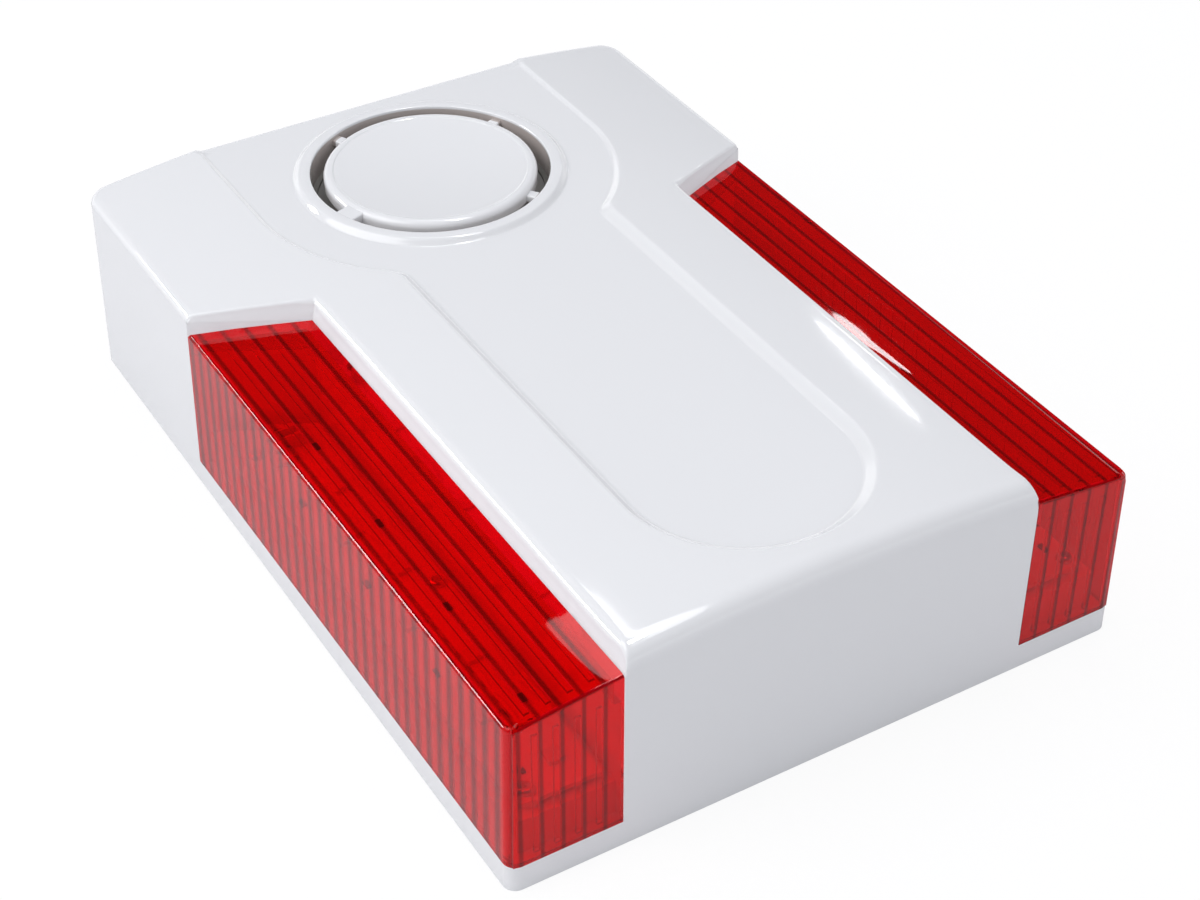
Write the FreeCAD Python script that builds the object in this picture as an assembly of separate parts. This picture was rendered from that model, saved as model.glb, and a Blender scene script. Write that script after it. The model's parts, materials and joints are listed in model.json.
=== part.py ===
import FreeCAD, Part
import math
import os

# Outdoor alarm siren, lying on its back as it would on a bench.
# Millimetres. Origin at the centre of the back face, +X across, +Y towards the
# speaker end, +Z out of the wall.

V = FreeCAD.Vector

# Cover, outside form, with the fall of its arched front as a share of the width
length = 290.0
width = 208.0
crown_peak = 72.9
crown_fall_share = 0.03735
side_lean = 1.15
end_lean = 0.3
corner_radius = 7.0
edge_radius = 2.6
near_edge_radius = 6.0
crease_radius = 1.0
recess_edge_radius = 1.5
cover_wall = 2.6

# Keyhole recess in the front face, its two radii as shares of the width
recess_depth = 3.7
recess_wall_run = 1.6
wide_share = 0.2923
narrow_share = 0.164
narrow_end_inset = 51.0

# Speaker opening, concentric with the wide end of the recess
speaker_inset = 53.5
ring_radius = 45.2
ring_height = 1.8
ring_soft = 1.4
slot_outer_radius = 40.2
disc_radius = 35.9
disc_thickness = 2.8
disc_rise = 1.8
disc_rim_width = 3.2
disc_rim_step = 0.3
disc_skirt_depth = 4.6
throat_wall = 2.4
throat_depth = 8.2
spoke_angles = (28.0, 116.0, 198.0, 307.0)
spoke_widths = (4.0, 4.0, 7.5, 4.0)
spoke_drops = (1.9, 1.9, 0.2, 1.9)
spoke_thickness = 2.6

# Lens pockets beside the spine, and the stepped floor in them
pocket_width = 35.8
pocket_far_y = 41.0
pocket_far_angle = 28.0
pocket_floor_z = 21.0
ledge_z = 8.9
ledge_width = 5.6
bevel_height = 7.0
bevel_run = 1.9

# Lenses
lens_drop = 6.4
lens_wall = 2.4
lens_gap = 0.25
lens_short_wall = 6.0
lens_rib_pitch = 6.5
lens_rib_width = 1.8
lens_rib_depth = 0.9
lens_rib_margin = 4.0
tongue_width = 1.2
tongue_depth = 1.5
tongue_gap = 0.15
tongue_end_inset = 1.5

# Back plate
plate_thickness = 3.0
plate_gap = 0.4
rim_wall = 2.0
rim_height = 2.6
mount_spacing_x = 164.0
mount_spacing_y = 244.0
mount_hole_radius = 2.75
mount_pad_radius = 8.0
mount_pad_height = 1.2

# Cable entry
entry_y = 47.0
entry_radius = 9.0
grommet_wall = 1.6
grommet_flange = 2.4
grommet_bore_radius = 4.0
grommet_lip = 1.5
grommet_neck = 3.0
grommet_gap = 0.1
grommet_recess = 0.4

# Fixings
screw_hole_gap = 0.1
board_screw_radius = 1.25
board_screw_head = 2.5
board_screw_head_height = 1.8
board_screw_length = 8.0
led_screw_length = 3.6
cover_screw_radius = 1.9
cover_screw_head = 3.6
cover_screw_head_height = 2.4
cover_screw_length = 16.0
cover_screw_x = 60.0
cover_screw_z = 13.0
cover_screw_sink = 0.4
cover_boss_radius = 6.0
cover_boss_depth = 3.4
lug_gap = 0.4
lug_half_width = 7.0
lug_height = 17.0
lug_depth = 10.5
hook_x = 40.0
hook_half_width = 5.0
hook_thickness = 2.4
hook_z = 9.0
hook_reach = 8.0
hook_gap = 0.3
hook_lug_depth = 4.0
hook_lug_side = 3.0
hook_lug_height = 13.0
hook_lug_setback = 3.0

# Sounder behind the speaker opening
gasket_thickness = 1.0
gasket_inner_radius = 38.5
horn_flange_radius = 44.6
horn_flange_thickness = 3.0
horn_wall = 2.2
horn_depth = 34.0
horn_throat_radius = 12.0
ear_radius = 50.5
ear_pad_radius = 4.6
ear_angle = 45.0
capsule_radius = 23.0
capsule_height = 14.0
capsule_step = 3.0
capsule_tab_height = 4.0
capsule_tab_width = 2.8
capsule_tab_thickness = 0.8

# Main circuit board
board_length = 112.0
board_width = 74.0
board_y = -9.0
board_thickness = 1.6
board_clear = 9.0
board_hole_inset = 4.5
post_radius = 3.6

# Parts on the main board: place from its centre, then size
chips = ((-18.0, -14.0, 12.0, 12.0, 1.6), (6.0, -22.0, 10.0, 6.2, 1.8), (24.0, -24.0, 6.2, 5.0, 1.8))
capacitors = ((-40.0, -12.0, 6.3, 20.0), (-40.0, 4.0, 5.0, 16.0), (38.0, -14.0, 5.0, 16.0))
capacitor_edge = 0.8
coil_x = -14.0
coil_y = 12.0
coil_length = 22.0
coil_width = 18.0
coil_height = 17.0
coil_side = 4.0
coil_bar = 3.0
coil_core_width = 9.0
coil_winding_gap = 0.1
relay_x = 14.0
relay_y = 10.0
relay_length = 15.5
relay_width = 19.0
relay_height = 15.0
relay_edge = 0.6
terminal_pitch = 5.0
terminal_count = 10
terminal_inset = 2.0
terminal_width = 8.0
terminal_height = 10.0
terminal_well_depth = 3.0
terminal_screw_radius = 1.5
terminal_screw_height = 2.0
terminal_mouth_width = 3.2
terminal_mouth_depth = 2.5
terminal_mouth_foot = 1.2
terminal_mouth_height = 4.0

# Battery in its cradle
battery_length = 97.0
battery_height = 52.0
battery_thickness = 43.0
battery_near_inset = 22.0
battery_gap = 0.4
battery_tab_width = 4.8
battery_tab_length = 6.2
battery_tab_thickness = 0.8
battery_tab_spread = 60.0
battery_edge = 1.0
battery_lid = 4.0
battery_seam = 1.0
battery_seam_depth = 0.6
cradle_wall = 2.0
cradle_height = 12.0
cradle_corner = 12.0
strap_width = 14.0
strap_thickness = 1.2
strap_foot = 12.0

# Light boards in the lens pockets
led_board_thickness = 1.6
led_board_side_gap = 2.6
led_standoff = 1.4
led_count = 8
led_size = 5.0
led_height = 1.6
led_stagger = 3.4
led_part_length = 3.2
led_part_width = 1.6
led_part_height = 0.7
led_part_offset = 6.5
led_plug_length = 7.5
led_plug_width = 5.0
led_plug_height = 5.2
led_plug_wall = 0.8
led_plug_gap = 1.0
led_wire_hole_radius = 3.0
led_wire_overhang = 1.0

# Wall tamper: a sprung plunger through the back plate under the board
tamper_x = 30.0
tamper_y = 8.0
plunger_radius = 3.2
plunger_travel = 2.5
plunger_clearance = 0.05
flange_radius = 5.4
flange_thickness = 1.5
flange_gap = 0.25
flange_stop_gap = 0.1
plunger_tip_radius = 1.9
switch_gap = 0.1
sleeve_wall = 1.6
sleeve_drop = 0.6
switch_size = 6.0
switch_height = 3.5
spring_radius = 4.9
spring_wire = 0.5
spring_turns = 4

# Places worked out from the sizes above
half_length = length / 2
half_width = width / 2
crown_fall = crown_fall_share * width
crown_radius = (half_width ** 2 + crown_fall ** 2) / (2 * crown_fall)
pocket_inner_x = half_width - pocket_width
wide_radius = wide_share * width
narrow_radius = narrow_share * width
speaker_y = half_length - speaker_inset
recess_floor = crown_peak - recess_depth
narrow_end_y = -half_length + narrow_end_inset
ceiling_z = recess_floor - cover_wall
lens_peak = crown_peak - lens_drop
throat_z = recess_floor - throat_depth
beyond = length + width
board_z = plate_thickness + board_clear
board_top = board_z + board_thickness
led_board_z = pocket_floor_z + led_standoff
led_board_top = led_board_z + led_board_thickness
flange_z = throat_z - gasket_thickness
horn_back_z = flange_z - horn_depth
far_slope = math.tan(math.radians(pocket_far_angle))
far_cosine = math.cos(math.radians(pocket_far_angle))


def box(x0, x1, y0, y1, z0, z1):
    """A block between two corners."""
    return Part.makeBox(x1 - x0, y1 - y0, z1 - z0, V(x0, y0, z0))


def rod(x, y, z0, z1, radius):
    """An upright cylinder."""
    return Part.makeCylinder(radius, z1 - z0, V(x, y, z0))


def prism(points, z0, z1):
    """A plan outline of straight sides, raised from z0 to z1."""
    corners = [V(x, y, z0) for x, y in points]
    wire = Part.makePolygon(corners + corners[:1])
    return Part.Face(wire).extrude(V(0, 0, z1 - z0))


def frustum(lower, z0, upper, z1):
    """A solid with flat leaning sides between two like plan outlines, listed anticlockwise."""
    low = [V(x, y, z0) for x, y in lower]
    high = [V(x, y, z1) for x, y in upper]
    faces = [Part.Face(Part.makePolygon(high + high[:1]))]
    for i in range(len(low)):
        j = (i + 1) % len(low)
        faces.append(Part.Face(Part.makePolygon([low[i], low[j], high[j], high[i], low[i]])))
    low.reverse()
    faces.append(Part.Face(Part.makePolygon(low + low[:1])))
    shell = Part.makeShell(faces)
    shell.sewShape()
    return Part.makeSolid(shell)


def turned(steps, x, y):
    """A solid of revolution about the upright line through x, y.

    Each step is the next point (radius, z), or a pair of such points for an
    arc through the first to the second.
    """
    here = V(x + steps[0][0], y, steps[0][1])
    first = here
    edges = []
    for step in steps[1:]:
        if isinstance(step[0], tuple):
            middle = V(x + step[0][0], y, step[0][1])
            there = V(x + step[1][0], y, step[1][1])
            edges.append(Part.Arc(here, middle, there).toShape())
        else:
            there = V(x + step[0], y, step[1])
            edges.append(Part.LineSegment(here, there).toShape())
        here = there
    if here.distanceToPoint(first) > 1e-6:
        edges.append(Part.LineSegment(here, first).toShape())
    face = Part.Face(Part.Wire(edges))
    return face.revolve(V(x, y, 0), V(0, 0, 1), 360)


def fused(shapes):
    """The union of touching shapes as one clean solid."""
    whole = shapes[0].fuse(shapes[1:]) if len(shapes) > 1 else shapes[0]
    whole = whole.removeSplitter()
    return whole.Solids[0] if len(whole.Solids) == 1 else whole


def mirrored(shape):
    """The same shape on the other side of the spine."""
    return shape.mirror(V(0, 0, 0), V(1, 0, 0))


def leaning_block(inset, peak, edge):
    """The cover's outer form, made smaller by inset, with its crown at peak.

    Four sides lean in with height, the upright corners are rounded, the top is
    an arc across the width, and its border is rounded by edge.
    """
    top = crown_peak + 20.0
    rings = []
    for z in (0.0, top):
        hx = half_width - inset - z * math.tan(math.radians(side_lean))
        hy = half_length - inset - z * math.tan(math.radians(end_lean))
        rings.append([(-hx, -hy), (hx, -hy), (hx, hy), (-hx, hy)])
    block = frustum(rings[0], 0.0, rings[1], top)
    upright = [e for e in block.Edges if abs(e.Vertexes[0].Z - e.Vertexes[1].Z) > 1.0]
    block = block.makeFillet(max(corner_radius - inset, 1.0), upright)
    left = V(-half_width, 0, peak - crown_radius + math.sqrt(crown_radius ** 2 - half_width ** 2))
    right = V(half_width, 0, left.z)
    arc = Part.Arc(left, V(0, 0, peak), right).toShape()
    down = [V(half_width, 0, left.z), V(half_width, 0, -1), V(-half_width, 0, -1), left]
    arch = Part.Face(Part.Wire([arc] + Part.makePolygon(down).Edges))
    arch.translate(V(0, -length, 0))
    body = block.common(arch.extrude(V(0, 2 * length, 0)))
    if edge > 0:
        crown = max(body.Faces, key=lambda face: face.CenterOfMass.z)
        body = body.makeFillet(edge, crown.Edges)
    return body


def between(shape, z0, z1):
    """The part of a shape that lies between two levels."""
    return shape.common(box(-beyond, beyond, -beyond, beyond, z0, z1))


def pocket_plan(grow):
    """Plan outline of the right lens pocket, made larger by grow."""
    inner = pocket_inner_x - grow
    outer = half_width + beyond
    far = pocket_far_y + grow / far_cosine
    near = -half_length - beyond
    return [
        (inner, near),
        (outer, near),
        (outer, far + (outer - pocket_inner_x) * far_slope),
        (inner, far + (inner - pocket_inner_x) * far_slope),
    ]


def pocket(grow):
    """The right lens pocket: open outwards, with a raised floor and a low ledge."""
    room = prism(pocket_plan(grow), ledge_z - grow, crown_peak + beyond)
    floor = box(
        -beyond, half_width - ledge_width - grow,
        -half_length + ledge_width + grow, beyond,
        -beyond, pocket_floor_z - grow,
    )
    return room.cut(floor)


def pocket_bevel():
    """The leaning faces from the front face down to the lens."""
    foot = lens_peak - crown_radius + math.sqrt(crown_radius ** 2 - pocket_inner_x ** 2)
    return frustum(pocket_plan(0), foot, pocket_plan(2 * bevel_run), foot + 2 * bevel_height)


def stadium(radius, y0, y1, z):
    """A long rounded outline about the spine's centre line."""
    right = Part.LineSegment(V(radius, y0, z), V(radius, y1, z)).toShape()
    far = Part.Arc(V(radius, y1, z), V(0, y1 + radius, z), V(-radius, y1, z)).toShape()
    left = Part.LineSegment(V(-radius, y1, z), V(-radius, y0, z)).toShape()
    near = Part.Arc(V(-radius, y0, z), V(0, y0 - radius, z), V(radius, y0, z)).toShape()
    return Part.Wire([right, far, left, near])


def recess():
    """The keyhole recess with one flat floor and sloping walls."""
    rise = recess_depth + 1.0
    parts = []
    for radius, y0, y1 in (
        (wide_radius, speaker_y, half_length + wide_radius),
        (narrow_radius, narrow_end_y, speaker_y),
    ):
        rings = [
            stadium(radius, y0, y1, recess_floor),
            stadium(radius + recess_wall_run * rise, y0, y1, recess_floor + rise),
        ]
        parts.append(Part.makeLoft(rings, True, True))
    return fused(parts)


def ring_groove(inset, depth, gap):
    """The border strip under a lens edge, as deep as asked, for tongue or groove."""
    outer = leaning_block(inset - gap, crown_peak, 0)
    inner = leaning_block(inset + tongue_width + gap, crown_peak, 0)
    strip = between(outer.cut(inner), ledge_z - depth, ledge_z + 0.5)
    return strip.common(prism(pocket_plan(gap - tongue_end_inset), 0, crown_peak))


def speaker_ring():
    """The raised ring round the slot and the short throat wall under it."""
    top = recess_floor + ring_height
    inner = slot_outer_radius
    soft = ring_soft
    return turned([
        (inner, throat_z),
        (inner, top - 0.4),
        ((inner + 0.12, top - 0.12), (inner + 0.4, top)),
        (ring_radius - soft - 0.6, top),
        ((ring_radius - soft * 0.45, top - ring_height * 0.35), (ring_radius, recess_floor)),
        (ring_radius, recess_floor - cover_wall),
        (inner + throat_wall, recess_floor - cover_wall),
        (inner + throat_wall, throat_z),
    ], 0, speaker_y)


def speaker_disc():
    """The dished disc in the middle of the opening, with its rounded rim."""
    top = recess_floor + disc_rise
    face = disc_radius - disc_rim_width
    rim = top + disc_rim_step
    bend = disc_rim_width - 0.7
    knee = bend * (1 - math.sqrt(0.5))
    foot = rim - disc_skirt_depth
    inner = disc_radius - cover_wall
    return turned([
        (0, top),
        (face - 0.3, top),
        (face, rim),
        (disc_radius - bend, rim),
        ((disc_radius - knee, rim - knee), (disc_radius, rim - bend)),
        (disc_radius, foot),
        (inner, foot),
        (inner, top - disc_thickness),
        (0, top - disc_thickness),
    ], 0, speaker_y)


def spokes():
    """Four short bridges that hold the disc in the ring."""
    shapes = []
    low = recess_floor + disc_rise + disc_rim_step - disc_skirt_depth
    for angle, wide, drop in zip(spoke_angles, spoke_widths, spoke_drops):
        top = recess_floor + ring_height - drop
        bottom = min(low, top - spoke_thickness)
        bar = box(disc_radius - 1.0, slot_outer_radius + 1.0, -wide / 2, wide / 2, bottom, top)
        bar.rotate(V(0, 0, 0), V(0, 0, 1), angle)
        bar.translate(V(0, speaker_y, 0))
        shapes.append(bar)
    return shapes


def at_ears(radius, z0, z1):
    """Upright rods at the four fixing points of the sounder."""
    rods = []
    for turn in range(4):
        angle = math.radians(ear_angle + 90.0 * turn)
        x = ear_radius * math.cos(angle)
        y = speaker_y + ear_radius * math.sin(angle)
        rods.append(rod(x, y, z0, z1, radius))
    return rods


def led_board_span():
    """The inner and outer sides of the right light board, and its near and far ends."""
    inner = pocket_inner_x + led_board_side_gap
    outer = half_width - ledge_width - led_board_side_gap
    near = -half_length + ledge_width + led_board_side_gap
    far = pocket_far_y - led_board_side_gap
    return inner, outer, near, far


def led_screw_places():
    """Plan positions of the three screws of the right light board."""
    inner, outer, near, far = led_board_span()
    return [
        (outer - board_screw_head - 1.0, near + board_screw_head + 1.5),
        (inner + board_screw_head + 1.0, (near + far) / 2),
        (outer - board_screw_head - 1.0, far - board_screw_head - 1.5),
    ]


def edges_between(body, is_first, is_second):
    """The edges where a face of one kind meets a face of another."""
    first = [face for face in body.Faces if is_first(face)]
    second = [face for face in body.Faces if is_second(face)]
    found = []
    for face in first:
        for edge in face.Edges:
            if any(edge.isSame(other) for near in second for other in near.Edges):
                found.append(edge)
    return found


def is_bevel(face):
    """Whether a face is one of the leaning faces above a lens."""
    if not isinstance(face.Surface, Part.Plane) or face.CenterOfMass.z < recess_floor / 2:
        return False
    return 0.1 < face.normalAt(0, 0).z < 0.7


def is_crown(face):
    """Whether a face belongs to the arched front."""
    return isinstance(face.Surface, Part.Cylinder) and abs(face.Surface.Radius - crown_radius) < 1e-3


def is_recess_wall(face):
    """Whether a face is a sloping wall of the keyhole recess."""
    low = face.BoundBox.ZMin > recess_floor - 0.01
    return low and face.BoundBox.ZLength > 0.1 and isinstance(face.Surface, (Part.Plane, Part.Cone))


def cover_outside():
    """The cover's outer form as a solid: crown, lens pockets, bevels and recess."""
    far_half = box(-beyond, beyond, 0, beyond, -1, beyond)
    near_half = box(-beyond, beyond, -beyond, 0, -1, beyond)
    body = fused([
        leaning_block(0, crown_peak, edge_radius).common(far_half),
        leaning_block(0, crown_peak, near_edge_radius).common(near_half),
    ])
    for cut in (pocket(0), pocket_bevel()):
        body = body.cut(cut).cut(mirrored(cut))
    body = body.removeSplitter().Solids[0]
    crease = edges_between(body, is_bevel, lambda face: not isinstance(face.Surface, Part.Plane))
    body = body.makeFillet(crease_radius, crease)
    body = body.cut(recess()).removeSplitter().Solids[0]
    return body.makeFillet(recess_edge_radius, edges_between(body, is_recess_wall, is_crown))


def front_cover():
    """The white moulding: shell, recess, speaker opening, pockets, bosses and hooks."""
    inside = leaning_block(cover_wall, crown_peak - cover_wall, 0)
    inside = inside.common(box(-beyond, beyond, -beyond, beyond, -1, ceiling_z))
    inside = inside.cut(pocket(cover_wall)).cut(mirrored(pocket(cover_wall)))
    groove = ring_groove(tongue_inset(), tongue_depth + tongue_gap, tongue_gap)
    shell = cover_outside().cut(inside).cut(groove).cut(mirrored(groove))

    hole = rod(0, speaker_y, throat_z - 1, beyond, slot_outer_radius + throat_wall / 2)
    shell = shell.cut(hole)
    added = [speaker_ring(), speaker_disc()] + spokes()
    added += at_ears(post_radius, flange_z, ceiling_z + 0.5)

    for x in (-cover_screw_x, cover_screw_x):
        end = half_length - cover_wall - cover_boss_depth
        added.append(Part.makeCylinder(
            cover_boss_radius, cover_boss_depth + cover_wall / 2,
            V(x, end, cover_screw_z), V(0, 1, 0)))
    for x in (-hook_x, hook_x):
        start = -half_length + cover_wall / 2
        added.append(box(
            x - hook_half_width, x + hook_half_width, start, start + cover_wall / 2 + hook_reach,
            hook_z, hook_z + hook_thickness))
    for x, y in led_screw_places():
        post = rod(x, y, pocket_floor_z - cover_wall - 2.0, led_board_z, post_radius)
        added += [post, mirrored(post)]
    shell = fused([shell] + added)

    drilled = at_ears(board_screw_radius + screw_hole_gap, flange_z - 1, ceiling_z)
    for x in (-cover_screw_x, cover_screw_x):
        drilled.append(Part.makeCylinder(
            cover_screw_radius + screw_hole_gap, 3 * cover_boss_radius,
            V(x, half_length - 2 * cover_boss_radius, cover_screw_z), V(0, 1, 0)))
        drilled.append(Part.makeCylinder(
            cover_screw_head + 3 * screw_hole_gap, beyond,
            V(x, half_length - cover_screw_head_height - cover_screw_sink, cover_screw_z), V(0, 1, 0)))
    for x, y in led_screw_places():
        hole = rod(x, y, led_board_z - led_screw_length, led_board_z + 1,
                   board_screw_radius + screw_hole_gap)
        drilled += [hole, mirrored(hole)]
    x, y = led_wire_place()
    hole = rod(x, y, 0, pocket_floor_z + 1, led_wire_hole_radius)
    drilled += [hole, mirrored(hole)]
    for hole in drilled:
        shell = shell.cut(hole)
    return shell.removeSplitter()


def tongue_inset():
    """How far the lens tongue lies inside the outer face."""
    return (lens_wall - tongue_width) / 2


def led_wire_place():
    """Where the wires of the right light board pass through the pocket floor."""
    inner, outer, near, far = led_board_span()
    return (inner + outer) / 2, far + led_wire_overhang


def lens():
    """The right clear red lens: a cap with ribs inside and a tongue round its foot."""
    plan = prism(pocket_plan(-lens_gap), ledge_z, crown_peak)
    outside = leaning_block(0, lens_peak, edge_radius).common(plan)
    skin = leaning_block(lens_wall, lens_peak - lens_wall, 0)
    shoulder = lens_peak - crown_fall
    below = box(-beyond, beyond, -beyond, beyond, 0, shoulder - lens_short_wall)
    within = prism(pocket_plan(-lens_gap - lens_wall), 0, crown_peak)
    shell = outside.cut(skin.common(fused([below, within])))

    ribbed = skin.cut(leaning_block(lens_wall + lens_rib_depth, lens_peak - lens_wall - lens_rib_depth, 0))
    low = pocket_floor_z / 2
    high = shoulder - lens_wall - lens_rib_depth - lens_rib_width
    inner = pocket_inner_x + lens_gap + lens_wall
    slabs = []
    y = -half_length + lens_rib_margin + lens_wall
    last = pocket_far_y + (half_width - pocket_inner_x) * far_slope - lens_rib_margin - lens_rib_width
    while y < last:
        slabs.append(box(half_width - ledge_width, half_width, y, y + lens_rib_width, low, high))
        y += lens_rib_pitch
    x = inner + lens_rib_pitch / 2
    while x + lens_rib_width < half_width - lens_rib_margin:
        slabs.append(box(x, x + lens_rib_width, -half_length, -half_length + ledge_width, low, high))
        far = pocket_far_y + (x - pocket_inner_x) * far_slope - lens_rib_margin
        slabs.append(box(x, x + lens_rib_width, -half_length + ledge_width, far, high, crown_peak))
        x += lens_rib_pitch
    ribs = [ribbed.common(slab) for slab in slabs]
    tongue = ring_groove(tongue_inset(), tongue_depth, 0)
    return fused([shell, tongue] + ribs)


def back_plate():
    """The base moulding: plate, rim, posts, cradle, lugs and holes."""
    inset = cover_wall + plate_gap
    outline = leaning_block(inset, crown_peak, 0)
    plate = between(outline, 0, plate_thickness)
    rim = outline.cut(leaning_block(inset + rim_wall, crown_peak, 0))
    parts = [plate, between(rim, 0, plate_thickness + rim_height)]
    for x, y in mount_places():
        parts.append(rod(x, y, 0, plate_thickness + mount_pad_height, mount_pad_radius))
    for x, y in board_screw_places():
        parts.append(rod(x, y, 0, board_z, post_radius))
    for x, y in strap_screw_places():
        parts.append(rod(x, y, 0, strap_seat(), post_radius))
    parts.append(rod(0, entry_y, 0, plate_thickness + grommet_lip, entry_radius + 2 * grommet_wall))
    sleeve_radius = flange_radius + flange_gap
    parts.append(rod(tamper_x, tamper_y, 0, board_z - sleeve_drop, sleeve_radius + sleeve_wall))
    parts += cradle_walls()

    face = half_length - cover_wall - cover_boss_depth - lug_gap
    for x in (-cover_screw_x, cover_screw_x):
        parts.append(box(x - lug_half_width, x + lug_half_width, face - lug_depth, face, 0,
                         plate_thickness + lug_height))
    start = -half_length + cover_wall + hook_gap + hook_lug_setback
    for x in (-hook_x, hook_x):
        side = hook_half_width + hook_gap + hook_lug_side
        parts.append(box(x - side, x + side, start, start + hook_lug_depth, 0,
                         plate_thickness + hook_lug_height))
    base = fused(parts)

    cuts = []
    for x, y in mount_places():
        cuts.append(rod(x, y, -1, beyond, mount_hole_radius))
    pilot = board_screw_radius + screw_hole_gap
    for x, y in board_screw_places():
        cuts.append(rod(x, y, board_z - board_screw_length, board_z + 1, pilot))
    for x, y in strap_screw_places():
        cuts.append(rod(x, y, strap_seat() - board_screw_length, strap_seat() + 1, pilot))
    cuts.append(rod(0, entry_y, -1, beyond, entry_radius))
    cuts.append(rod(tamper_x, tamper_y, -1, beyond, plunger_radius + plunger_clearance))
    cuts.append(rod(tamper_x, tamper_y, plate_thickness, beyond, sleeve_radius))
    for x in (-cover_screw_x, cover_screw_x):
        cuts.append(Part.makeCylinder(
            cover_screw_radius + screw_hole_gap, lug_depth + 2, V(x, face - lug_depth - 1, cover_screw_z),
            V(0, 1, 0)))
    for x in (-hook_x, hook_x):
        side = hook_half_width + hook_gap
        cuts.append(box(x - side, x + side, start - 1, start + hook_lug_depth + 1, hook_z - hook_gap,
                        hook_z + hook_thickness + hook_gap))
    for cut in cuts:
        base = base.cut(cut)
    return base.removeSplitter()


def cradle_walls():
    """Low walls round the battery: four high corners and two low ends."""
    near, far = battery_span()
    side = battery_length / 2 + battery_gap
    walls = []
    for x in (-side - cradle_wall, side):
        for y in (near - battery_gap, far + battery_gap - cradle_corner):
            walls.append(box(x, x + cradle_wall, y, y + cradle_corner, 0, plate_thickness + cradle_height))
    end = side - cradle_corner
    for y in (near - battery_gap - cradle_wall, far + battery_gap):
        walls.append(box(-end, end, y, y + cradle_wall, 0, plate_thickness + cradle_height / 2))
    return walls


def mount_places():
    """The four wall fixing points."""
    x = mount_spacing_x / 2
    y = mount_spacing_y / 2
    return [(-x, -y), (x, -y), (x, y), (-x, y)]


def board_screw_places():
    """The four posts of the main board."""
    x = board_length / 2 - board_hole_inset
    y = board_width / 2 - board_hole_inset
    return [(sx * x, board_y + sy * y) for sx in (-1, 1) for sy in (-1, 1)]


def battery_span():
    """Near and far faces of the battery along Y."""
    near = -half_length + battery_near_inset
    return near, near + battery_height


def strap_screw_places():
    """The two screws of the battery strap."""
    near, far = battery_span()
    x = battery_length / 2 + battery_gap + cradle_wall + strap_foot / 2
    return [(-x, (near + far) / 2), (x, (near + far) / 2)]


def strap_seat():
    """Level of the strap's feet."""
    return plate_thickness + cradle_height


def screw_down(x, y, seat, length_under_head, head_radius, head_height, shank_radius):
    """A pan-head screw along Z, with its head on the seat level."""
    edge = head_height * 0.45
    return turned([
        (0, seat - length_under_head),
        (shank_radius * 0.5, seat - length_under_head),
        (shank_radius, seat - length_under_head + shank_radius),
        (shank_radius, seat),
        (head_radius, seat),
        (head_radius, seat + edge),
        ((head_radius * 0.8, seat + head_height * 0.86), (head_radius * 0.4, seat + head_height)),
        (0, seat + head_height),
    ], x, y)


def board_screw(x, y, seat, length_under_head):
    """One of the small screws that hold the boards, the sounder and the strap."""
    return screw_down(x, y, seat, length_under_head, board_screw_head, board_screw_head_height,
                      board_screw_radius)


def cover_screws():
    """The two screws through the far end of the cover."""
    shapes = []
    seat = cover_screw_head_height + cover_screw_sink
    for x in (-cover_screw_x, cover_screw_x):
        screw = screw_down(0, 0, 0, cover_screw_length, cover_screw_head, cover_screw_head_height,
                           cover_screw_radius)
        screw.rotate(V(0, 0, 0), V(1, 0, 0), -90)
        screw.translate(V(x, half_length - seat, cover_screw_z))
        shapes.append(screw)
    return Part.makeCompound(shapes)


def horn():
    """The sounder's flared horn with its flange and four ears."""
    mouth = gasket_inner_radius
    back = horn_back_z
    throat = horn_throat_radius
    mid_z = back + horn_depth * 0.55
    mid = throat + (mouth - throat) * 0.36
    low = flange_z - horn_flange_thickness
    body = turned([
        (mouth, flange_z),
        (horn_flange_radius, flange_z),
        (horn_flange_radius, low),
        (mouth + horn_wall, low),
        ((mid + horn_wall + 1.4, mid_z - 2.0), (throat + 2 * horn_wall, back)),
        (throat, back),
        ((mid, mid_z), (mouth, flange_z)),
    ], 0, speaker_y)
    ears = []
    for turn in range(4):
        angle = ear_angle + 90.0 * turn
        arm = box(mouth + horn_wall, ear_radius, -ear_pad_radius, ear_pad_radius, low, flange_z)
        arm.rotate(V(0, 0, 0), V(0, 0, 1), angle)
        arm.translate(V(0, speaker_y, 0))
        ears.append(arm)
    whole = fused([body] + ears + at_ears(ear_pad_radius, low, flange_z))
    for hole in at_ears(board_screw_radius + screw_hole_gap, low - 1, flange_z + 1):
        whole = whole.cut(hole)
    return whole.removeSplitter()


def capsule():
    """The sealed driver behind the horn, with its two terminals."""
    top = horn_back_z
    base = top - capsule_height
    step = capsule_step
    can = turned([
        (0, top),
        (capsule_radius, top),
        (capsule_radius, base + step),
        (capsule_radius - step, base),
        (0, base),
    ], 0, speaker_y)
    tabs = []
    half = capsule_tab_width / 2
    thin = capsule_tab_thickness / 2
    for x in (-capsule_radius / 2, capsule_radius / 2):
        tabs.append(box(x - half, x + half, speaker_y - thin, speaker_y + thin,
                        base - capsule_tab_height, base + thin))
    return fused([can] + tabs)


def gasket():
    """The soft ring between the throat wall and the horn."""
    outer = rod(0, speaker_y, flange_z, throat_z, slot_outer_radius + throat_wall)
    return outer.cut(rod(0, speaker_y, flange_z - 1, throat_z + 1, gasket_inner_radius))


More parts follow.
